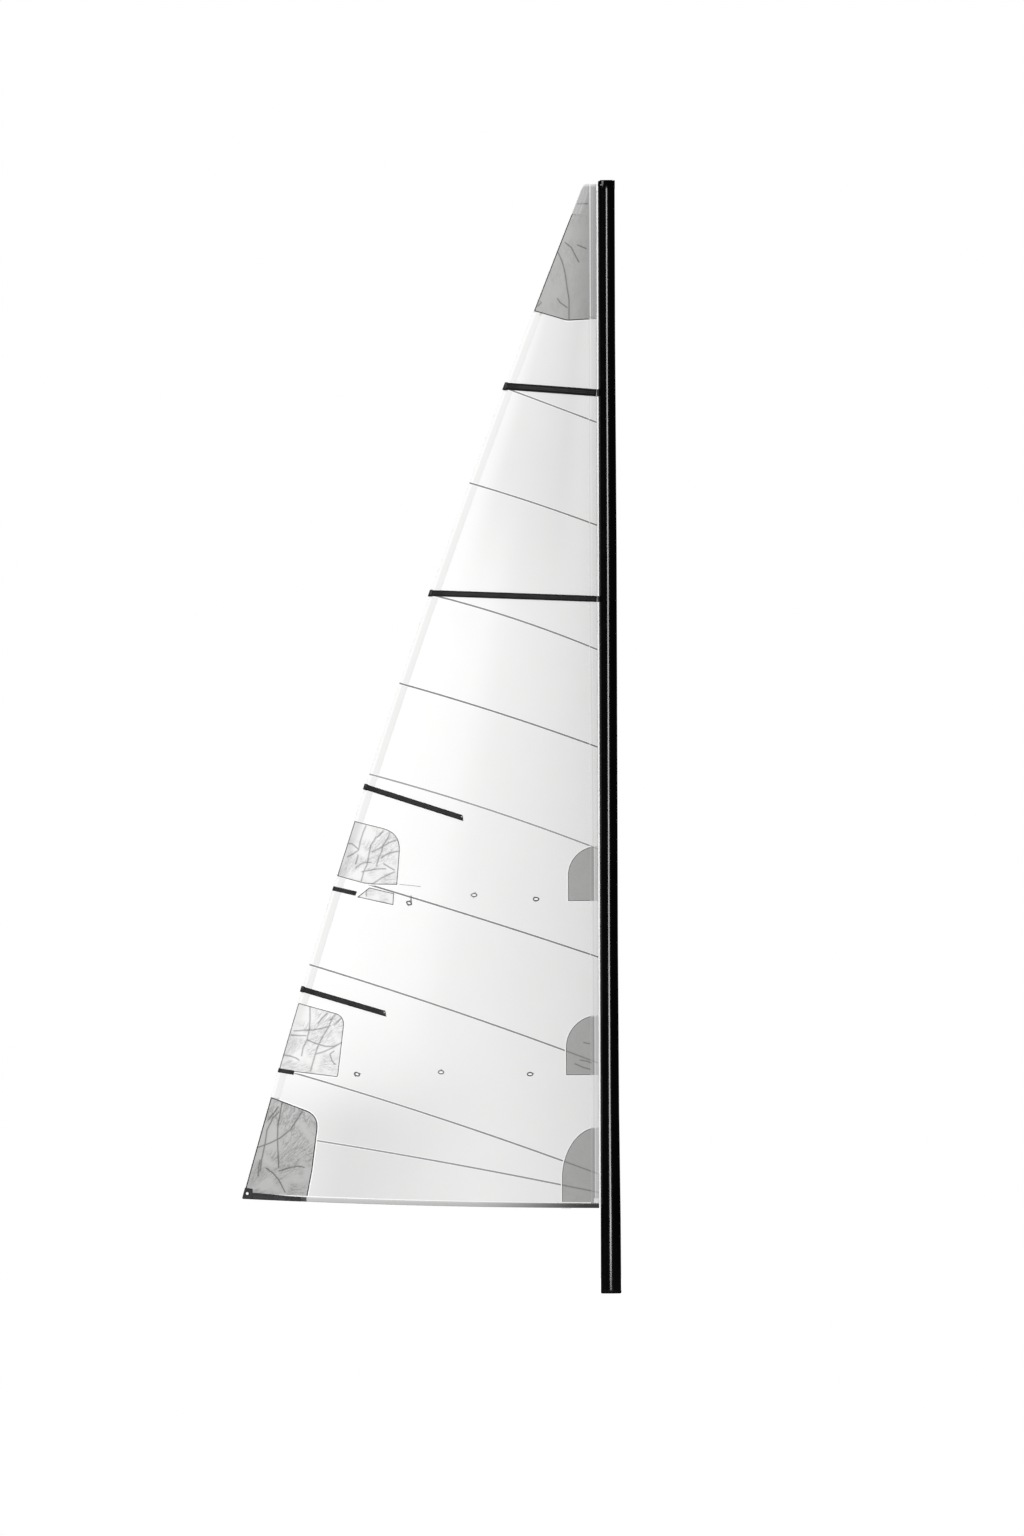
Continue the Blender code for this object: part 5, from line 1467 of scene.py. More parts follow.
@dataclass
class EdgeTapes:
    """Tapes folded round the luff, the leech and the foot."""

    kit: Kit
    step: float = 0.03
    sliver: float = 0.0006
    fold_allowance: float = 0.006
    fold_heights: tuple[float, ...] = (1.0, 4.1, 4.7, 5.8, 9.0)
    fold_widths: tuple[float, ...] = (0.0430, 0.0440, 0.0475, 0.0610, 0.0680)
    leech_edges: tuple[float, ...] = (0.988, 1.227, 1.818, 2.830, 3.423)
    head_stops: tuple[float, ...] = (9.611, 9.623, 9.635)
    hem_columns: tuple[float, ...] = (-0.003, 0.002, 0.0085)
    leech_allowance: float = 1.08
    foot_allowance: float = 1.05
    hem_allowance: float = 1.02

    def stops(self, start: float, end: float, edges: Sequence[float], fine: bool = False) -> Array:
        """Stations from start to end, with a close pair at each edge of a patch.

        Args:
            start: first station.
            end: last station.
            edges: places of the patches' edges.
            fine: whether stations crowd where a seam shows through.

        Returns:
            The stations in order.
        """
        even = np.linspace(start, end, int((end - start) / self.step) + 2)
        close = [edge + side * self.sliver for edge in edges for side in (-1, 1)]
        if fine:
            for index in range(len(SEAMS)):
                middle = float(seam_z(index, 0.0))
                close.extend(np.arange(middle - 0.02, middle + 0.045, 0.004).tolist())
        return np.unique(np.concatenate((even, [place for place in close if start < place < end])))

    def luff(self) -> None:
        """Make the luff tape, whose hem is duller than its middle."""
        low = SAIL.tack_z + FOOT_TAPE_WIDTH + EDGE_GAP
        edges = [SAIL.tack_z + height for sizes in LUFF_PATCHES.values() for height in sizes[1:3] if height]
        edges.append(SAIL.head_z - HEAD_PATCH_DROPS[0])

        def tone(u: Array, z: Array, d: Array) -> Array:
            """Brightness across the tape and over the patches."""
            cover = patch_tone(u, z)
            fold = np.interp(z, self.fold_heights, self.fold_widths)
            dark = np.exp(-(((d - fold) / 0.0042) ** 2))
            white = np.exp(-(((d - fold + 0.0115) / 0.0042) ** 2))
            rim = 1.0 - smoothstep(0.003, 0.009, d)
            hem = 0.955 - 0.06 * rim - 0.09 * dark + 0.05 * white
            inside = 1.0 - smoothstep(-0.008, -0.004, d - fold)
            lower = z < SAIL.head_z - 2.0
            pale = np.where(lower, 0.42 * inside + 0.35 * white, 0.05 * inside + 1.05 * white)
            pale = pale - 0.12 * rim
            through = 1.0 - 0.26 * seam_shadow(u, z)
            return np.where(cover < 0.999, 0.93 * cover * (1.0 + pale - 0.30 * dark) * through, hem)

        obj = folded_band(
            "luff_tape_cloth", self.stops(low, SAIL.head_z, edges, True), lambda s, d: (d, s),
            LUFF_TAPE_WIDTH, TAPE, tone, True, np.linspace(1.0, 0.04, 26),
        )
        size = (2 * LUFF_TAPE_WIDTH + self.fold_allowance, SAIL.head_z - low)
        rope = ["luff_bolt_rope"]
        self.kit.sew(obj, "tape_cloth", "tape_cloth", size, "luff_tape", held="folded", rests_on=rope)

    def leech(self) -> None:
        """Make the leech tape, pale at its edge, which narrows beside the luff tape at the head."""
        edges = [SAIL.tack_z + height for height in self.leech_edges]
        edges += [SAIL.head_z - HEAD_PATCH_DROPS[2], *self.head_stops]
        low = CORNER[1] + 0.004

        def place(s: Array, d: Array) -> tuple[Array, Array]:
            """Point at a distance in from the leech."""
            return SAIL.leech(s) - d * leech_tape_width(s) / LEECH_TAPE_WIDTH, s

        def tone(u: Array, z: Array, d: Array) -> Array:
            """Brightness across the tape and over the patches."""
            cover = patch_tone(u, z)
            plain = 1.0 - 0.10 * smoothstep(0.024, 0.030, d)
            bare = 1.0 - smoothstep(0.0050, 0.0065, d)
            return np.where(cover < 0.999, 0.93 * cover * (1.0 - bare) + bare, plain)

        stations = self.stops(low, SAIL.head_z, edges)
        obj = folded_band("leech_tape_cloth", stations, place, LEECH_TAPE_WIDTH, TAPE, tone, True)
        punch(obj)
        size = (2 * LEECH_TAPE_WIDTH + self.fold_allowance, (SAIL.head_z - low) * self.leech_allowance)
        self.kit.sew(obj, "tape_cloth", "tape_cloth", size, "leech_tape", held="folded")

    def foot(self) -> None:
        """Make the foot tape, with painted shade that darkens it towards the tack and the clew."""
        back = SAIL.meet_leech(SAIL.foot_line, LEECH_TAPE_WIDTH + EDGE_GAP)[0]

        def tone(u: Array, z: Array, d: Array) -> Array:
            """Painted shade along the foot, darker at its lower edge."""
            fore = smoothstep(0.10, 1.25, u) ** 0.8
            aft = smoothstep(0.565, 0.575, CORNER[0] - u)
            middle = 0.52 * fore * aft + 0.055
            rim = (0.55 - 0.25 * fore * aft) * (1.0 - smoothstep(0.003, 0.007, d))
            return middle * (1.0 - rim + 0.10 * smoothstep(0.02, 0.034, d))

        obj = folded_band(
            "foot_tape_cloth", np.linspace(0.0, back, 400), lambda s, d: (s, SAIL.foot_line(s) + d),
            FOOT_TAPE_WIDTH, TAPE, tone, False, np.linspace(1.0, 0.07, 12),
        )
        size = (2 * FOOT_TAPE_WIDTH + self.fold_allowance, back * self.foot_allowance)
        self.kit.sew(obj, "foot_tape_cloth", "tape_cloth", size, "foot_tape", held="folded")
        self.foot_hem(back)

    def foot_hem(self, back: float) -> None:
        """Make the pale strip that shows above the foot tape, over the patches."""
        u, v = np.meshgrid(np.linspace(0.003, back, 160), self.hem_columns, indexing="ij")
        z = SAIL.foot_line(u) + FOOT_TAPE_WIDTH + v
        size = (float(np.ptp(self.hem_columns)), back * self.hem_allowance)
        self.kit.sew_strips("foot_hem", u, z, FOOT_HEM, HEM_TONE, size)

    def build(self) -> None:
        """Make the three tapes."""
        self.luff()
        self.leech()
        self.foot()


@dataclass
class Patches:
    """Reinforcing patches on both faces of the sail, each with a pale hem round it."""

    kit: Kit
    step: float = 0.0065
    hem_width: float = 0.0104
    hem_step: float = 0.015
    hem_allowance: float = 1.02
    allowance: Point = (1.03, 1.01)
    show_through: float = 0.52

    def shade(self, plan: PatchPlan, u: Array, z: Array) -> Array:
        """Broad changes of brightness: duller over the leech tape, with painted shade towards the luff side
        of the head and towards the bottom of the clew patch.
        """
        over = 1.0 - smoothstep(-0.045, 0.030, SAIL.leech(z) - u - leech_tape_width(z))
        if plan.folds == "reef_1":
            return 1.0 - 0.12 * over
        if plan.folds == "reef_2":
            return 1.0 - 0.22 * over
        if plan.folds == "clew":
            # Painted shade: darker towards the bottom of the clew patch.
            return 1.06 - 0.13 * smoothstep(0.0, 0.9, SAIL.tack_z + 0.95 - z) - 0.05 * over
        if plan.folds == "head":
            # Painted shade: darker towards the luff.
            return 1.0 - 0.09 * (1.0 - smoothstep(0.08, 0.30, u))
        return np.ones(np.shape(u))

    def climb(self, plan: PatchPlan, u: Array, z: Array) -> Array:
        """Share of the way from beneath the leech tape to above it."""
        if not plan.over_leech:
            return np.zeros(np.shape(u))
        beyond = SAIL.leech(z) - u - leech_tape_width(z)
        return (1.0 - smoothstep(0.002, 0.012, beyond)) * smoothstep(0.19, 0.24, SAIL.leech(z))

    def patch(self, plan: PatchPlan, side: Side) -> None:
        """Make one patch on one face."""
        flat = cut_to_grid(plan.outline, self.step)
        u, z = flat.points.T
        edge, run = line_distance(u, z, [*plan.outline, plan.outline[0]])
        folds = CREASING.near(u, z, FOLDS[plan.folds])
        through = self.show_through * seam_shadow(u, z) * (plan.folds == "reef_tack")
        marks = {
            "tone": (1.0 - through) * self.shade(plan, u, z),
            # Painted shade in the pressed folds.
            "crease": CREASING.mark(folds),
            "edge": edge,
            "run": run,
            "turn": np.arctan2(z - plan.fan[1], plan.fan[0] - u),
            "reach": np.hypot(z - plan.fan[1], plan.fan[0] - u),
        }
        over = self.climb(plan, u, z)
        own = CREASING.depth(folds) * smoothstep(0.0, 0.01, edge) * (1.0 - over)
        low = plan.layer.low + over * (OVER_TAPE.low - plan.layer.low)
        high = plan.layer.high + over * (OVER_TAPE.high - plan.layer.high)
        name = f"{plan.name}_reinforcement_{side.label}"
        obj = sheet_mesh(name, flat, Layer(low, high).span(side), marks, own)
        if plan.name == "clew":
            punch(obj)
        size = (float(np.ptp(u)) * self.allowance[0], float(np.ptp(z)) * self.allowance[1])
        self.kit.sew(obj, plan.look, plan.slot, size, f"{plan.nodes}_{side.label}")

    def hem(self, plan: PatchPlan, side: Side) -> None:
        """Make the pale strip of cloth that shows outside the patch's stitched edge."""
        corners = np.array(plan.border)
        steps = np.diff(corners, axis=0)
        turn = np.sum(steps[:, 0] * (corners[1:, 1] + corners[:-1, 1] - 2 * corners[0, 1]))
        walked = np.concatenate(([0.0], np.cumsum(np.hypot(*steps.T))))
        stops = np.unique(np.concatenate((walked, np.arange(0.0, walked[-1], self.hem_step))))
        u = np.interp(stops, walked, corners[:, 0])
        z = np.interp(stops, walked, corners[:, 1])
        sign = 1.0 if turn > 0 else -1.0
        out_u, out_z = -sign * np.gradient(z, stops), sign * np.gradient(u, stops)
        size = np.hypot(out_u, out_z)
        columns = np.array([0.0004, 0.4 * self.hem_width, self.hem_width])
        grid_u = u[:, None] + columns * (out_u / size)[:, None]
        grid_z = z[:, None] + columns * (out_z / size)[:, None]
        grid_u = np.minimum(grid_u, SAIL.leech(grid_z) - LEECH_SHOW)
        flat = (self.hem_width, float(walked[-1]) * self.hem_allowance)
        self.kit.sew_strips(f"{plan.name}_hem", grid_u, grid_z, HEM, HEM_TONE, flat, sides=(side,))

    def build(self) -> None:
        """Make every patch and hem."""
        for plan in PATCHES:
            for side in Side:
                self.patch(plan, side)
                self.hem(plan, side)


# Batten pockets


@dataclass(frozen=True)
class PocketLine:
    """Straight line of a pocket, as seen from the side."""

    number: int
    height: float
    rise: float
    start: float
    width: float
    slant: float

    @property
    def turn(self) -> float:
        """Angle of the line above the level."""
        return math.atan(self.rise)

    @property
    def leech(self) -> float:
        """Distance along the line from the luff to the leech."""
        meet = SAIL.meet_leech(lambda u: SAIL.tack_z + self.height + self.rise * u)
        return meet[0] / math.cos(self.turn)

    @property
    def first(self) -> float:
        """Distance along the line to the pocket's inner end."""
        return self.start / math.cos(self.turn)

    def place(self, along: Array, across: Array) -> tuple[Array, Array]:
        """Point (u, z) at a distance along the line and a distance up from it."""
        u = along * math.cos(self.turn) - across * math.sin(self.turn)
        z = SAIL.tack_z + self.height + along * math.sin(self.turn) + across * math.cos(self.turn)
        return u, z


POCKETS: tuple[PocketLine, ...] = (
    PocketLine(1, 7.198, 0.076, 0.0045, 0.064, 0.0),
    PocketLine(2, 5.378, 0.038, 0.0045, 0.054, 0.0),
    PocketLine(3, 3.063, 0.322, 1.191, 0.048, 0.026),
    PocketLine(4, 1.167, 0.2955, 1.876, 0.048, 0.026),
)


@dataclass(frozen=True)
class Stitch:
    """One stitch: a short six-sided thread with a narrower top."""

    length: float = 0.0055
    half_wide: float = 0.00055
    tall: float = 0.0007
    outline: tuple[Point, ...] = ((-1.0, 0.0), (-0.6, 1.0), (0.6, 1.0), (1.0, 0.0), (0.6, -1.0), (-0.6, -1.0))
    top: Point = (0.7, 0.4)

    def rows(self, name: str, places: Sequence[tuple[float, float, float, float]]) -> Thing:
        """Make separate stitches that lie on the cloth.

        Args:
            name: name of the object.
            places: (u, z, turn, distance from the middle to starboard) of each stitch.

        Returns:
            The object.
        """
        sides = len(self.outline)
        low = np.array(self.outline) * (self.length / 2, self.half_wide)
        along, across = np.vstack((low, low * self.top)).T
        lift = np.repeat((0.0, self.tall), sides)
        ring = list(range(sides))
        shape = [ring, [k + sides for k in reversed(ring)]]
        shape += [[k, k + sides, (k + 1) % sides + sides, (k + 1) % sides] for k in ring]
        points, cloth, faces = [], [], []
        for index, (u, z, turn, offset) in enumerate(np.array(places, float)):
            pu = u - along * math.cos(turn) + across * math.sin(turn)
            pz = z + along * math.sin(turn) + across * math.cos(turn)
            points.append(lay(pu, pz, -(offset + lift)))
            cloth.append(np.column_stack((pu, pz)))
            faces.extend([[corner + index * len(lift) for corner in face] for face in shape])
        marks = {"tone": np.ones(len(points) * len(lift))}
        return make_mesh(name, np.vstack(points), faces, np.vstack(cloth), marks)


STITCH = Stitch()
STITCH_LIFT = 0.0001


@dataclass
class BattenPockets:
    """Black pockets with painted sheen along their crowns, their stitching, and the caps that close them at
    the leech.
    """

    kit: Kit
    core: float = 0.0165
    wall: float = 0.0007
    top: float = 0.0134
    seat: float = 0.0044
    setback: float = 0.020
    cap_proud: float = 0.013
    cap_thick: float = 0.0112
    cap_margin: float = 0.003
    rounding: float = 0.0022
    pitch: float = 0.0085
    row_inset: float = 0.0035
    box_share: float = 0.32
    crown_shape: tuple[Point, ...] = (
        (0.0, 1.0), (0.55, 0.985), (0.86, 0.93), (1.0, 0.80), (1.07, 0.45), (1.13, 0.12), (1.2, 0.0),
    )
    ramp: tuple[float, ...] = (0.0, 0.004, 0.010, 0.016, 0.024)

    def section(self, line: PocketLine, swell: float) -> tuple[Array, Array]:
        """Outer and inner closed section of the sleeve as (across, distance from the middle).

        Args:
            line: the pocket.
            swell: 1 for the full height, 0 where the sleeve is sewn flat.

        Returns:
            The outer and the inner ring of points.
        """
        half = line.width / 2
        rise = (self.top - self.seat) * swell
        slope = (half - 0.004 - self.core) / 0.2
        right = []
        for share, level in self.crown_shape:
            across = share * self.core if share <= 1.0 else self.core + (share - 1.0) * slope
            right.append((across, self.seat + rise * level))
        right += [(half - 0.0004, self.seat), (half, self.seat - 0.0006), (half, WEBBING.low)]
        outer = np.array(right + [(-across, level) for across, level in reversed(right)][:-1])
        inner = outer.copy()
        inner[:, 0] *= (half - 0.0065) / half
        inner[:, 1] = np.clip(outer[:, 1] - self.wall, WEBBING.low + self.wall, None)
        return outer, inner

    def sleeve(self, line: PocketLine) -> None:
        """Make the sleeve of a pocket."""
        mouth = line.leech - self.setback
        first = line.first
        even = np.linspace(first + 0.04, mouth, int((mouth - first) / 0.03) + 2)
        walls: tuple[list[Array], list[Array]] = ([], [])
        tone = []
        for station in np.concatenate((first + np.array(self.ramp), even)):
            swell = float(smoothstep(0.0, 0.022, station - first - 0.001)) * 0.995 + 0.005
            rings = self.section(line, swell)
            straight = 1.0 - smoothstep(0.0, 0.12, station - first)
            for ring, wall in zip(rings, walls):
                lean = line.slant * (ring[:, 0] / line.width + 0.12) * straight
                wall.append(np.column_stack((*line.place(station + lean, ring[:, 0]), -ring[:, 1])))
            # Paler stripes along the crown of the sleeve: painted sheen where the hump over the batten
            # catches the light, stronger towards the luff end.
            stripes = np.exp(-(((np.abs(rings[0][:, 0]) / self.core - 0.42) / 0.30) ** 2))
            worn = 1.0 + 0.9 * math.exp((first - station) / 0.05)
            tone.append(0.04 + 1.6 * stripes * worn * smoothstep(0.08, 0.11, mouth - station))
        marks = {"tone": np.array(tone)}
        obj = shell_mesh(f"pocket_sleeve_{line.number}", np.array(walls[0]), np.array(walls[1]), marks, True)
        size = (2 * line.width + 0.03, mouth - first)
        node = f"batten_pocket_{line.number}"
        self.kit.sew(obj, "black_webbing", "black_webbing", size, node, held="folded")

    def thread(self, line: PocketLine) -> None:
        """Make the rows of stitches along both margins, and the boxes at the ends."""
        mouth = line.leech - self.setback
        lean = 0.5 * line.slant
        places = []
        for across in (-1.0, 1.0):
            row = across * (line.width / 2 - self.row_inset)
            for along in np.arange(line.first + 0.010 + lean, mouth - 0.004, self.pitch):
                places.append((*line.place(along, row), math.pi + line.turn, self.seat + STITCH_LIFT))
        for start, level in ((line.first + 0.004, self.seat), (mouth - 0.020, self.top)):
            for share in np.linspace(-self.box_share, self.box_share, 5):
                spot = line.place(start + 0.2 * lean, share * line.width)
                places.append((*spot, math.pi / 2 + line.turn, level + STITCH_LIFT))
        obj = STITCH.rows(f"pocket_stitches_{line.number}", places)
        self.kit.finish(obj, "dark_thread", "black_webbing", "sail")

    def cap(self, line: PocketLine) -> None:
        """Make the cap at the leech, its end parallel to the leech and its faces along the belly."""
        start = line.leech - self.setback + 0.0003
        length = line.leech + self.cap_proud - start
        half = line.width / 2 + self.cap_margin
        z = line.place(line.leech, 0.0)[1]
        lean = math.atan(float(SAIL.leech(z - 0.05) - SAIL.leech(z + 0.05)) / 0.1) - line.turn
        bpy.ops.object.select_all(action="DESELECT")
        bpy.ops.mesh.primitive_cube_add(size=1.0)
        obj = bpy.context.active_object
        obj.name = f"leech_cap_{line.number}"
        obj.scale = (length, self.cap_thick, 2 * half)
        bpy.ops.object.transform_apply(location=False, rotation=False, scale=True)
        for sign in (1.0, -1.0):
            bpy.ops.object.mode_set(mode="EDIT")
            bpy.ops.mesh.select_all(action="DESELECT")
            bpy.ops.object.mode_set(mode="OBJECT")
            for vertex in obj.data.vertices:
                vertex.select = vertex.co.x < 0.0 and vertex.co.z * sign > 0.0
            bpy.ops.object.mode_set(mode="EDIT")
            bpy.ops.transform.translate(value=(sign * half * math.tan(lean), 0.0, 0.0))
            bpy.ops.object.mode_set(mode="OBJECT")
        bevel = obj.modifiers.new("rounding", "BEVEL")
        bevel.width = self.rounding
        bevel.segments = 3
        apply_modifiers(obj)
        u, z = line.place(start + length / 2, 0.0)
        obj.rotation_euler = (0.0, line.turn, 0.0)
        obj.location = (SAIL.luff_x - u, -WEBBING.low - self.cap_thick / 2, float(z))
        bpy.ops.object.transform_apply(location=True, rotation=True, scale=True)
        for vertex in obj.data.vertices:
            vertex.co.y += float(SAIL.belly(SAIL.luff_x - vertex.co.x, vertex.co.z))
        shade_smooth(obj.data)
        batten = f"batten_{line.number}"
        self.kit.finish(obj, "black_plastic", "black_plastic", batten, f"batten_end_cap_{line.number}")

    def build(self) -> None:
        """Make all four pockets."""
        for line in POCKETS:
            self.sleeve(line)
            self.thread(line)
            self.cap(line)


# Webbing at the clew, the reefs and the tack


@dataclass
class Webbing:
    """Straps, the clew's chafe cover and the block at the tack."""

    kit: Kit
    thread_at: float = WEBBING.high + STITCH_LIFT
    strap_length: float = 0.430
    strap_tall: float = 0.060
    strap_short: float = 0.040
    pitch: float = 0.009
    row_share: float = 0.34
    box: float = 0.026
    cover_top: float = 0.190
    cover_front: float = 0.178
    cover_rounding: float = 0.012
    block_out: float = 0.045
    block_tall: float = 0.044
    loose_seam: tuple[Point, ...] = ((1.755, 3.618), (1.661, 3.609), (1.568, 3.598))
    loose_half: float = 0.0054
    loose_tone: float = 0.32
    bar_tack: Point = (1.652, 3.496)

    def reef_strap(self, name: str, height: float, length: float, width: float, fall: float) -> None:
        """Make a strap folded round the leech, with its stitching.

        Args:
            name: the CAD node that it stands for.
            height: its height above the tack at the leech.
            length: how far it reaches in from the leech.
            width: width of the webbing.
            fall: its slope down from the leech, below 0.
        """

        def place(s: Array, d: Array) -> tuple[Array, Array]:
            """Point on the strap at a share of its width and a distance in from the leech."""
            level = SAIL.tack_z + height + s * width
            return SAIL.leech(level) + FOLD_OUT - d, level + fall * d

        def shade(u: Array, z: Array, d: Array) -> Array:
            """Paler where the middle of the strap is rubbed."""
            share = (d - d.min()) / np.ptp(d)
            return 0.25 + 0.9 * np.exp(-(((share - 0.45) / 0.3) ** 2))

        obj = folded_band(f"{name}_webbing", np.linspace(-0.5, 0.5, 9), place, length, WEBBING, shade)
        self.kit.sew(obj, "black_webbing", "black_webbing", (width, 2 * length + 0.01), name, held="folded")
        places = []
        slope = math.atan(fall)
        for share in (-self.row_share, self.row_share):
            for d in np.arange(0.010, length - 0.006, self.pitch):
                places.append((*place(share, d), slope, self.thread_at))
        for corner in (0.010, length - 0.034):
            for step in np.linspace(0.0, 1.0, 5):
                for sign in (-1, 1):
                    spot = place(sign * (step - 0.5) * 0.6, corner + self.box * step)
                    places.append((*spot, slope - sign * 0.75, self.thread_at))
        self.kit.finish(STITCH.rows(f"{name}_stitches", places), "dark_thread", "black_webbing", "sail")

    def foot_strap(self) -> None:
        """Make the strap folded round the foot, forward of the clew cover."""
        aft = CORNER[0] - COVER_LENGTH - EDGE_GAP
        front = aft - self.strap_length

        def place(s: Array, d: Array) -> tuple[Array, Array]:
            """Point above the foot, as far up as the strap is tall there."""
            tall = self.strap_short + (self.strap_tall - self.strap_short) * (s - front) / (aft - front)
            return s, SAIL.foot_line(s) - FOLD_OUT + d * tall / self.strap_tall

        def tone(u: Array, z: Array, d: Array) -> Array:
            """Paler where the strap's middle is rubbed."""
            return 0.35 + 1.3 * smoothstep(0.006, 0.02, d) * (1.0 - smoothstep(0.036, 0.05, d))

        stations = np.linspace(front, aft, 30)
        obj = folded_band("clew_foot_webbing", stations, place, self.strap_tall, WEBBING, tone)
        size = (2 * self.strap_tall + 0.005, self.strap_length)
        self.kit.sew(obj, "black_webbing", "black_webbing", size, "clew_foot_strap", held="folded")
        places = []
        for row in (0.010, 0.050):
            for s in np.arange(front + 0.008, aft - 0.004, self.pitch):
                places.append((*place(s, row), -0.03, self.thread_at))
        self.kit.finish(STITCH.rows("clew_foot_stitches", places), "thread", "black_webbing", "sail")

    def cover(self) -> None:
        """Make the chafe cover folded round the clew: a face on each side and the fold between them."""
        front = CORNER[0] - COVER_LENGTH
        top = SAIL.tack_z + self.cover_top
        low = SAIL.meet_leech(lambda u: float(SAIL.foot_line(u)) - FOLD_OUT, -FOLD_OUT)
        corners = [
            (front, float(SAIL.foot_line(front)) - FOLD_OUT, 0.0),
            (*low, self.cover_rounding),
            (float(SAIL.leech(top)) + FOLD_OUT, top, 0.0),
        ]
        edge = fillet(corners, 8)
        outline = [*edge, (front, SAIL.tack_z + self.cover_front)]
        flat = cut_to_grid(outline, 0.005)
        u, z = flat.points.T
        near = line_distance(u, z, [*outline, outline[0]])[0]
        bumps = np.sin(260 * u + 2.0 * np.sin(110 * z)) * np.sin(240 * z)
        rough = 0.0004 * bumps * smoothstep(0.0, 0.012, near)
        marks = {"tone": 1.3 - 0.9 * np.exp(-((near / 0.006) ** 2))}
        faces = []
        for side in Side:
            own = -side.value * rough
            face = sheet_mesh(f"clew_cover_{side.label}", flat, WEBBING.span(side), marks, own)
            punch(face)
            faces.append(face)
        along = np.array(edge)
        toward = np.array([CORNER[0] - 0.05, CORNER[1] + 0.05]) - along
        within = along + toward / np.linalg.norm(toward, axis=1)[:, None] * (WEBBING.high - WEBBING.low)
        offsets = np.linspace(-WEBBING.high, WEBBING.high, 5)
        outer = np.array([[(*point, y) for y in offsets] for point in along])
        inner = np.array([[(*point, y) for y in offsets * 0.9] for point in within])
        fold = shell_mesh("clew_cover_fold", outer, inner, {"tone": np.full(outer.shape[:2], 0.4)})
        obj = join(*faces, fold)
        obj.name = "clew_chafe_cover"
        self.kit.sew(obj, "black_webbing", "black_webbing", (0.205, 0.21), "clew_cover", held="folded")

    def tack_block(self) -> None:
        """Make the pale square of webbing at the foot of the luff tape."""
        low = SAIL.tack_z + FOOT_TAPE_WIDTH + FOLD_OUT
        high = low + self.block_tall
        outline = [(0.002, low), (self.block_out, low), (self.block_out, high), (0.002, high)]
        flat = cut_to_grid(outline, 0.004)
        near, run = line_distance(*flat.points.T, [*outline, outline[0]])
        marks = {"tone": 1.0 - 0.25 * np.exp(-((near / 0.002) ** 2)), "edge": near, "run": run}
        obj = sheet_mesh("tack_block", flat, WEBBING.span(Side.STARBOARD), marks)
        self.kit.sew(obj, "tape_cloth", "tape_cloth", (0.0435, 0.0445), "tack_webbing")

    def sewing(self) -> None:
        """Make the short seam forward of the second reef's patch, and the bar tack over its aft eyelet."""
        line = np.array(self.loose_seam)
        walked = np.concatenate(([0.0], np.cumsum(np.hypot(*np.diff(line, axis=0).T))))
        across = np.array([-1.0, -0.52, -0.50, 0.50, 0.52, 1.0]) * self.loose_half
        s, v = np.meshgrid(np.linspace(0.0, walked[-1], 24), across, indexing="ij")
        u = np.interp(s, walked, line[:, 0])
        z = np.interp(s, walked, line[:, 1]) + v
        tone = (HEM_TONE, HEM_TONE, self.loose_tone, self.loose_tone, HEM_TONE, HEM_TONE)
        size = (2 * self.loose_half, float(walked[-1]) * 1.02)
        self.kit.sew_strips("reef_2_loose_seam", u, z, SEAM_STRIP, tone, size)
        places = []
        for column in np.linspace(-0.005, 0.005, 8):
            for row in np.linspace(-0.020, 0.020, 8):
                spot = (self.bar_tack[0] + column, self.bar_tack[1] + row)
                places.append((*spot, math.pi / 2, SEAM_STRIP.high + STITCH_LIFT))
        obj = Stitch(length=0.0056).rows("reef_2_bar_tack", places)
        self.kit.finish(obj, "dark_thread", "black_webbing", "sail")

    def build(self) -> None:
        """Make all the webbing."""
        self.reef_strap("reef_1_clew_strap", 1.225, 0.140, 0.036, -0.16)
        self.reef_strap("reef_2_clew_strap", 2.830, 0.205, 0.038, -0.23)
        self.foot_strap()
        self.cover()
        self.tack_block()
        self.sewing()


# Bolt rope and the web of its tape


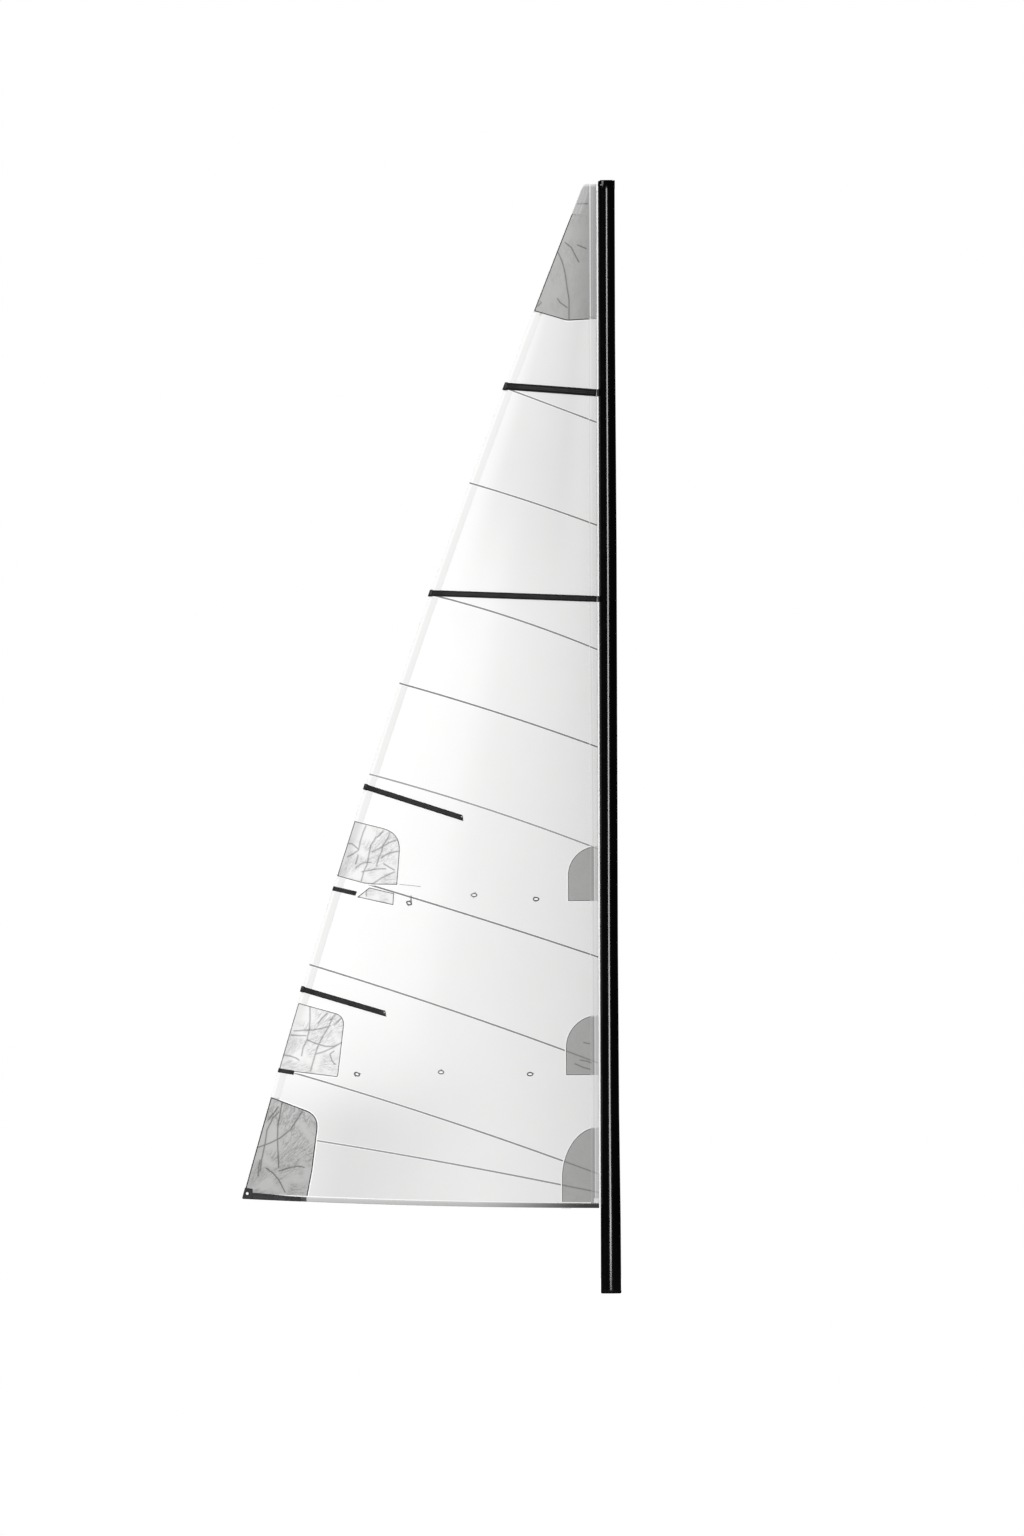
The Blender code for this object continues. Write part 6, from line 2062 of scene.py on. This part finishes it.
@dataclass
class LuffRope:
    """The rope in the groove, of three strands, and the web that joins it to the sail.

    The web is white, and black where the two full-length pockets reach it.
    """

    kit: Kit
    groove_x: float = -0.08175
    radius: float = 0.0052
    lay_length: float = 0.052
    row_step: float = 0.0065
    sides: int = 15
    low: float = 0.755
    high: float = 9.742
    web_places: tuple[float, ...] = (-0.0865, -0.090, -0.094, -0.098, -0.101, -0.1035, -0.1055, -0.1075)
    web_half: float = 0.00038
    patch_tone: float = 0.03

    def rope(self) -> None:
        """Make the three-strand rope."""
        count = int((self.high - self.low) / self.row_step)
        around = np.linspace(0.0, 2 * math.pi, self.sides, endpoint=False)
        points = []
        for row, z in enumerate(np.linspace(self.low, self.high, count)):
            turn = 2 * math.pi * z / self.lay_length
            reach = self.radius * (0.87 + 0.13 * np.abs(np.cos(1.5 * (around - turn))))
            if row in (0, count - 1):
                reach = reach * 0.7
            x = self.groove_x + reach * np.cos(around)
            points.append(np.column_stack((x, reach * np.sin(around), np.full(self.sides, z))))
        places = np.vstack(points)
        ends = [[row * self.sides + side for side in range(self.sides)] for row in (0, count - 1)]
        faces = [*grid_faces(count, self.sides, True), *ends]
        cloth = np.column_stack((np.tile(around * self.radius, count), places[:, 2]))
        obj = make_mesh("bolt_rope", places, faces, cloth, {"tone": np.ones(len(places))})
        self.kit.finish(obj, "rope", "rope", "luff_rope", "luff_bolt_rope")

    def web(self) -> None:
        """Make the web between the groove and the luff."""
        ends = [line.place(0.0, side * line.width / 2)[1] for line in POCKETS[:2] for side in (-1, 1)]
        crowded = [end + side * 0.0004 for end in ends for side in (-1, 1)]
        heights = np.unique(np.concatenate((np.linspace(self.low + 0.001, self.high - 0.002, 300), crowded)))
        x, z = (values.ravel() for values in np.meshgrid(self.web_places, heights))
        black = ((z > ends[0]) & (z < ends[1])) | ((z > ends[2]) & (z < ends[3]))
        ripple = 0.00012 * np.sin(z * 70.0)
        points = np.vstack([np.column_stack((x, ripple + y, z)) for y in (-self.web_half, self.web_half)])
        faces = thicken(grid_faces(len(heights), len(self.web_places)), len(x))
        cloth = np.tile(np.column_stack((-x, z)), (2, 1))
        marks = {"tone": np.tile(np.where(black, self.patch_tone, 1.0), 2)}
        obj = make_mesh("luff_web", points, faces, cloth, marks)
        obj.data.materials.append(self.kit["luff_web"])
        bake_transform(obj)
        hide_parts("luff_bolt_rope")
        LOG.info("luff_web: %d faces from luff_rope to sail", len(obj.data.polygons))

    def build(self) -> None:
        """Make the rope and its web."""
        self.rope()
        self.web()


# Metal and plastic parts that keep their CAD shape


@dataclass
class Hardware:
    """Mast, fittings, battens and rings, whose CAD meshes get finer shading and finishes."""

    kit: Kit

    def dress(self, node: str, look: str, angle: float = 32.0) -> None:
        """Shade a CAD node smooth between its sharp edges and give it a finish."""
        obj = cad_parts[node]
        obj.data.materials.clear()
        obj.data.materials.append(self.kit[look])
        if obj.data.has_custom_normals:
            select_only(obj)
            bpy.ops.mesh.customdata_custom_splitnormals_clear()
        obj.data.shade_smooth()
        weld = obj.modifiers.new("weld", "WELD")
        weld.merge_threshold = 0.00002
        sharp = obj.modifiers.new("sharp", "EDGE_SPLIT")
        sharp.split_angle = math.radians(angle)
        LOG.info("%s: kept, dressed in %s", node, look)

    def build(self) -> None:
        """Dress every CAD node that stays."""
        for node in ("mast_tube", "mast_head_cap", "sheave_pin"):
            self.dress(node, "black_anodised")
        for node in ("mast_heel_plug", "halyard_sheave", "headboard"):
            self.dress(node, "black_plastic")
        self.dress("clew_ring", "black_plastic", 50.0)
        for node in EYELETS:
            self.dress(node, "eyelet_metal", 50.0)
        for line in POCKETS:
            self.dress(f"batten_{line.number}", "glass_fibre")


# Studio


@dataclass
class Studio:
    """Floor, lamps, world and camera."""

    aim: tuple[float, float, float] = (-0.8632, 0.0, 4.6425)
    distance: float = 300.0
    view_height: float = 13.563
    roll: float = 0.00275
    ambient: float = 0.29
    reflected: float = 0.25
    front: float = 0.99
    side: float = 1.89
    rear: float = 2.60
    floor_radius: float = 9.0
    floor_shade: float = 0.34
    floor_glow: float = 0.86

    def camera(self) -> None:
        """Stand the camera square to the starboard side, far off."""
        data = bpy.data.cameras.new("camera")
        data.sensor_width = 36.0
        data.lens = data.sensor_width * self.distance / self.view_height
        data.clip_start = 1.0
        data.clip_end = 2 * self.distance
        obj = bpy.data.objects.new("camera", data)
        bpy.context.scene.collection.objects.link(obj)
        obj.location = (self.aim[0], -self.distance, self.aim[2])
        obj.rotation_euler = (math.pi / 2, self.roll, 0.0)
        bpy.context.scene.camera = obj

    def sun(self, name: str, towards: tuple[float, float, float], strength: float, angle: float) -> None:
        """Add a soft distant lamp that stands in a given direction."""
        data = bpy.data.lights.new(name, "SUN")
        data.energy = strength
        data.angle = math.radians(angle)
        obj = bpy.data.objects.new(name, data)
        bpy.context.scene.collection.objects.link(obj)
        obj.rotation_euler = Vector(towards).to_track_quat("Z", "Y").to_euler()

    def world(self) -> None:
        """Light evenly from all round, show white to the camera and little in reflections."""
        world = bpy.data.worlds.new("studio")
        bpy.context.scene.world = world
        world.use_nodes = True
        graph = Graph(world.node_tree)
        rays = graph.add("ShaderNodeLightPath").outputs
        seen = graph.math("MAXIMUM", rays["Is Camera Ray"], rays["Is Transmission Ray"])
        level = graph.math("MULTIPLY_ADD", seen, 1.0 - self.ambient, self.ambient)
        dim = graph.math("MULTIPLY_ADD", rays["Is Glossy Ray"], self.reflected - 1.0, 1.0)
        background = world.node_tree.nodes["Background"]
        background.inputs["Color"].default_value = (1.0, 1.0, 1.0, 1.0)
        graph.feed(background.inputs["Strength"], graph.math("MULTIPLY", level, dim))

    def floor(self) -> None:
        """Lay a pale round floor that shows white and keeps the shadow."""
        bpy.ops.object.select_all(action="DESELECT")
        bpy.ops.mesh.primitive_circle_add(vertices=128, radius=self.floor_radius, fill_type="NGON")
        obj = bpy.context.active_object
        obj.name = "studio_floor"
        obj.location = (self.aim[0], 0.0, -0.0005)
        constants = {"Roughness": 0.9, "Specular IOR Level": 0.0, "Emission Color": (1.0, 1.0, 1.0, 1.0)}
        surface = Surface("studio_floor", constants)
        graph = surface.graph
        speckle = graph.noise(graph.add("ShaderNodeTexCoord").outputs["Object"], 3.0, 3.0)
        shade = graph.math("MULTIPLY_ADD", speckle, 0.01, self.floor_shade)
        colour = graph.add("ShaderNodeCombineXYZ", {axis: shade for axis in "XYZ"}).outputs[0]
        graph.feed(surface.shader.inputs["Base Color"], colour)
        rays = graph.add("ShaderNodeLightPath").outputs
        glow = graph.math("MULTIPLY", rays["Is Camera Ray"], self.floor_glow)
        graph.feed(surface.shader.inputs["Emission Strength"], glow)
        obj.data.materials.append(surface.material)

    def build(self) -> None:
        """Set up everything round the object."""
        self.camera()
        self.world()
        self.floor()
        self.sun("front_lamp", (0.02, -1.0, 0.0), self.front, 9.0)
        self.sun("side_lamp", (-0.66, -0.66, 0.36), self.side, 24.0)
        self.sun("rear_lamp", (0.30, 0.86, 0.42), self.rear, 24.0)
        bpy.context.scene.view_settings.view_transform = "Standard"


def main() -> None:
    """Build the studio and every piece in order."""
    logging.basicConfig(level=logging.INFO, format="%(name)s %(message)s")
    Studio().build()
    kit = Kit()
    for assembly in (Hardware, LuffRope, Panels, EdgeTapes, Patches, BattenPockets, Webbing):
        assembly(kit).build()
    bpy.context.view_layer.update()


if __name__ == "__main__":
    main()
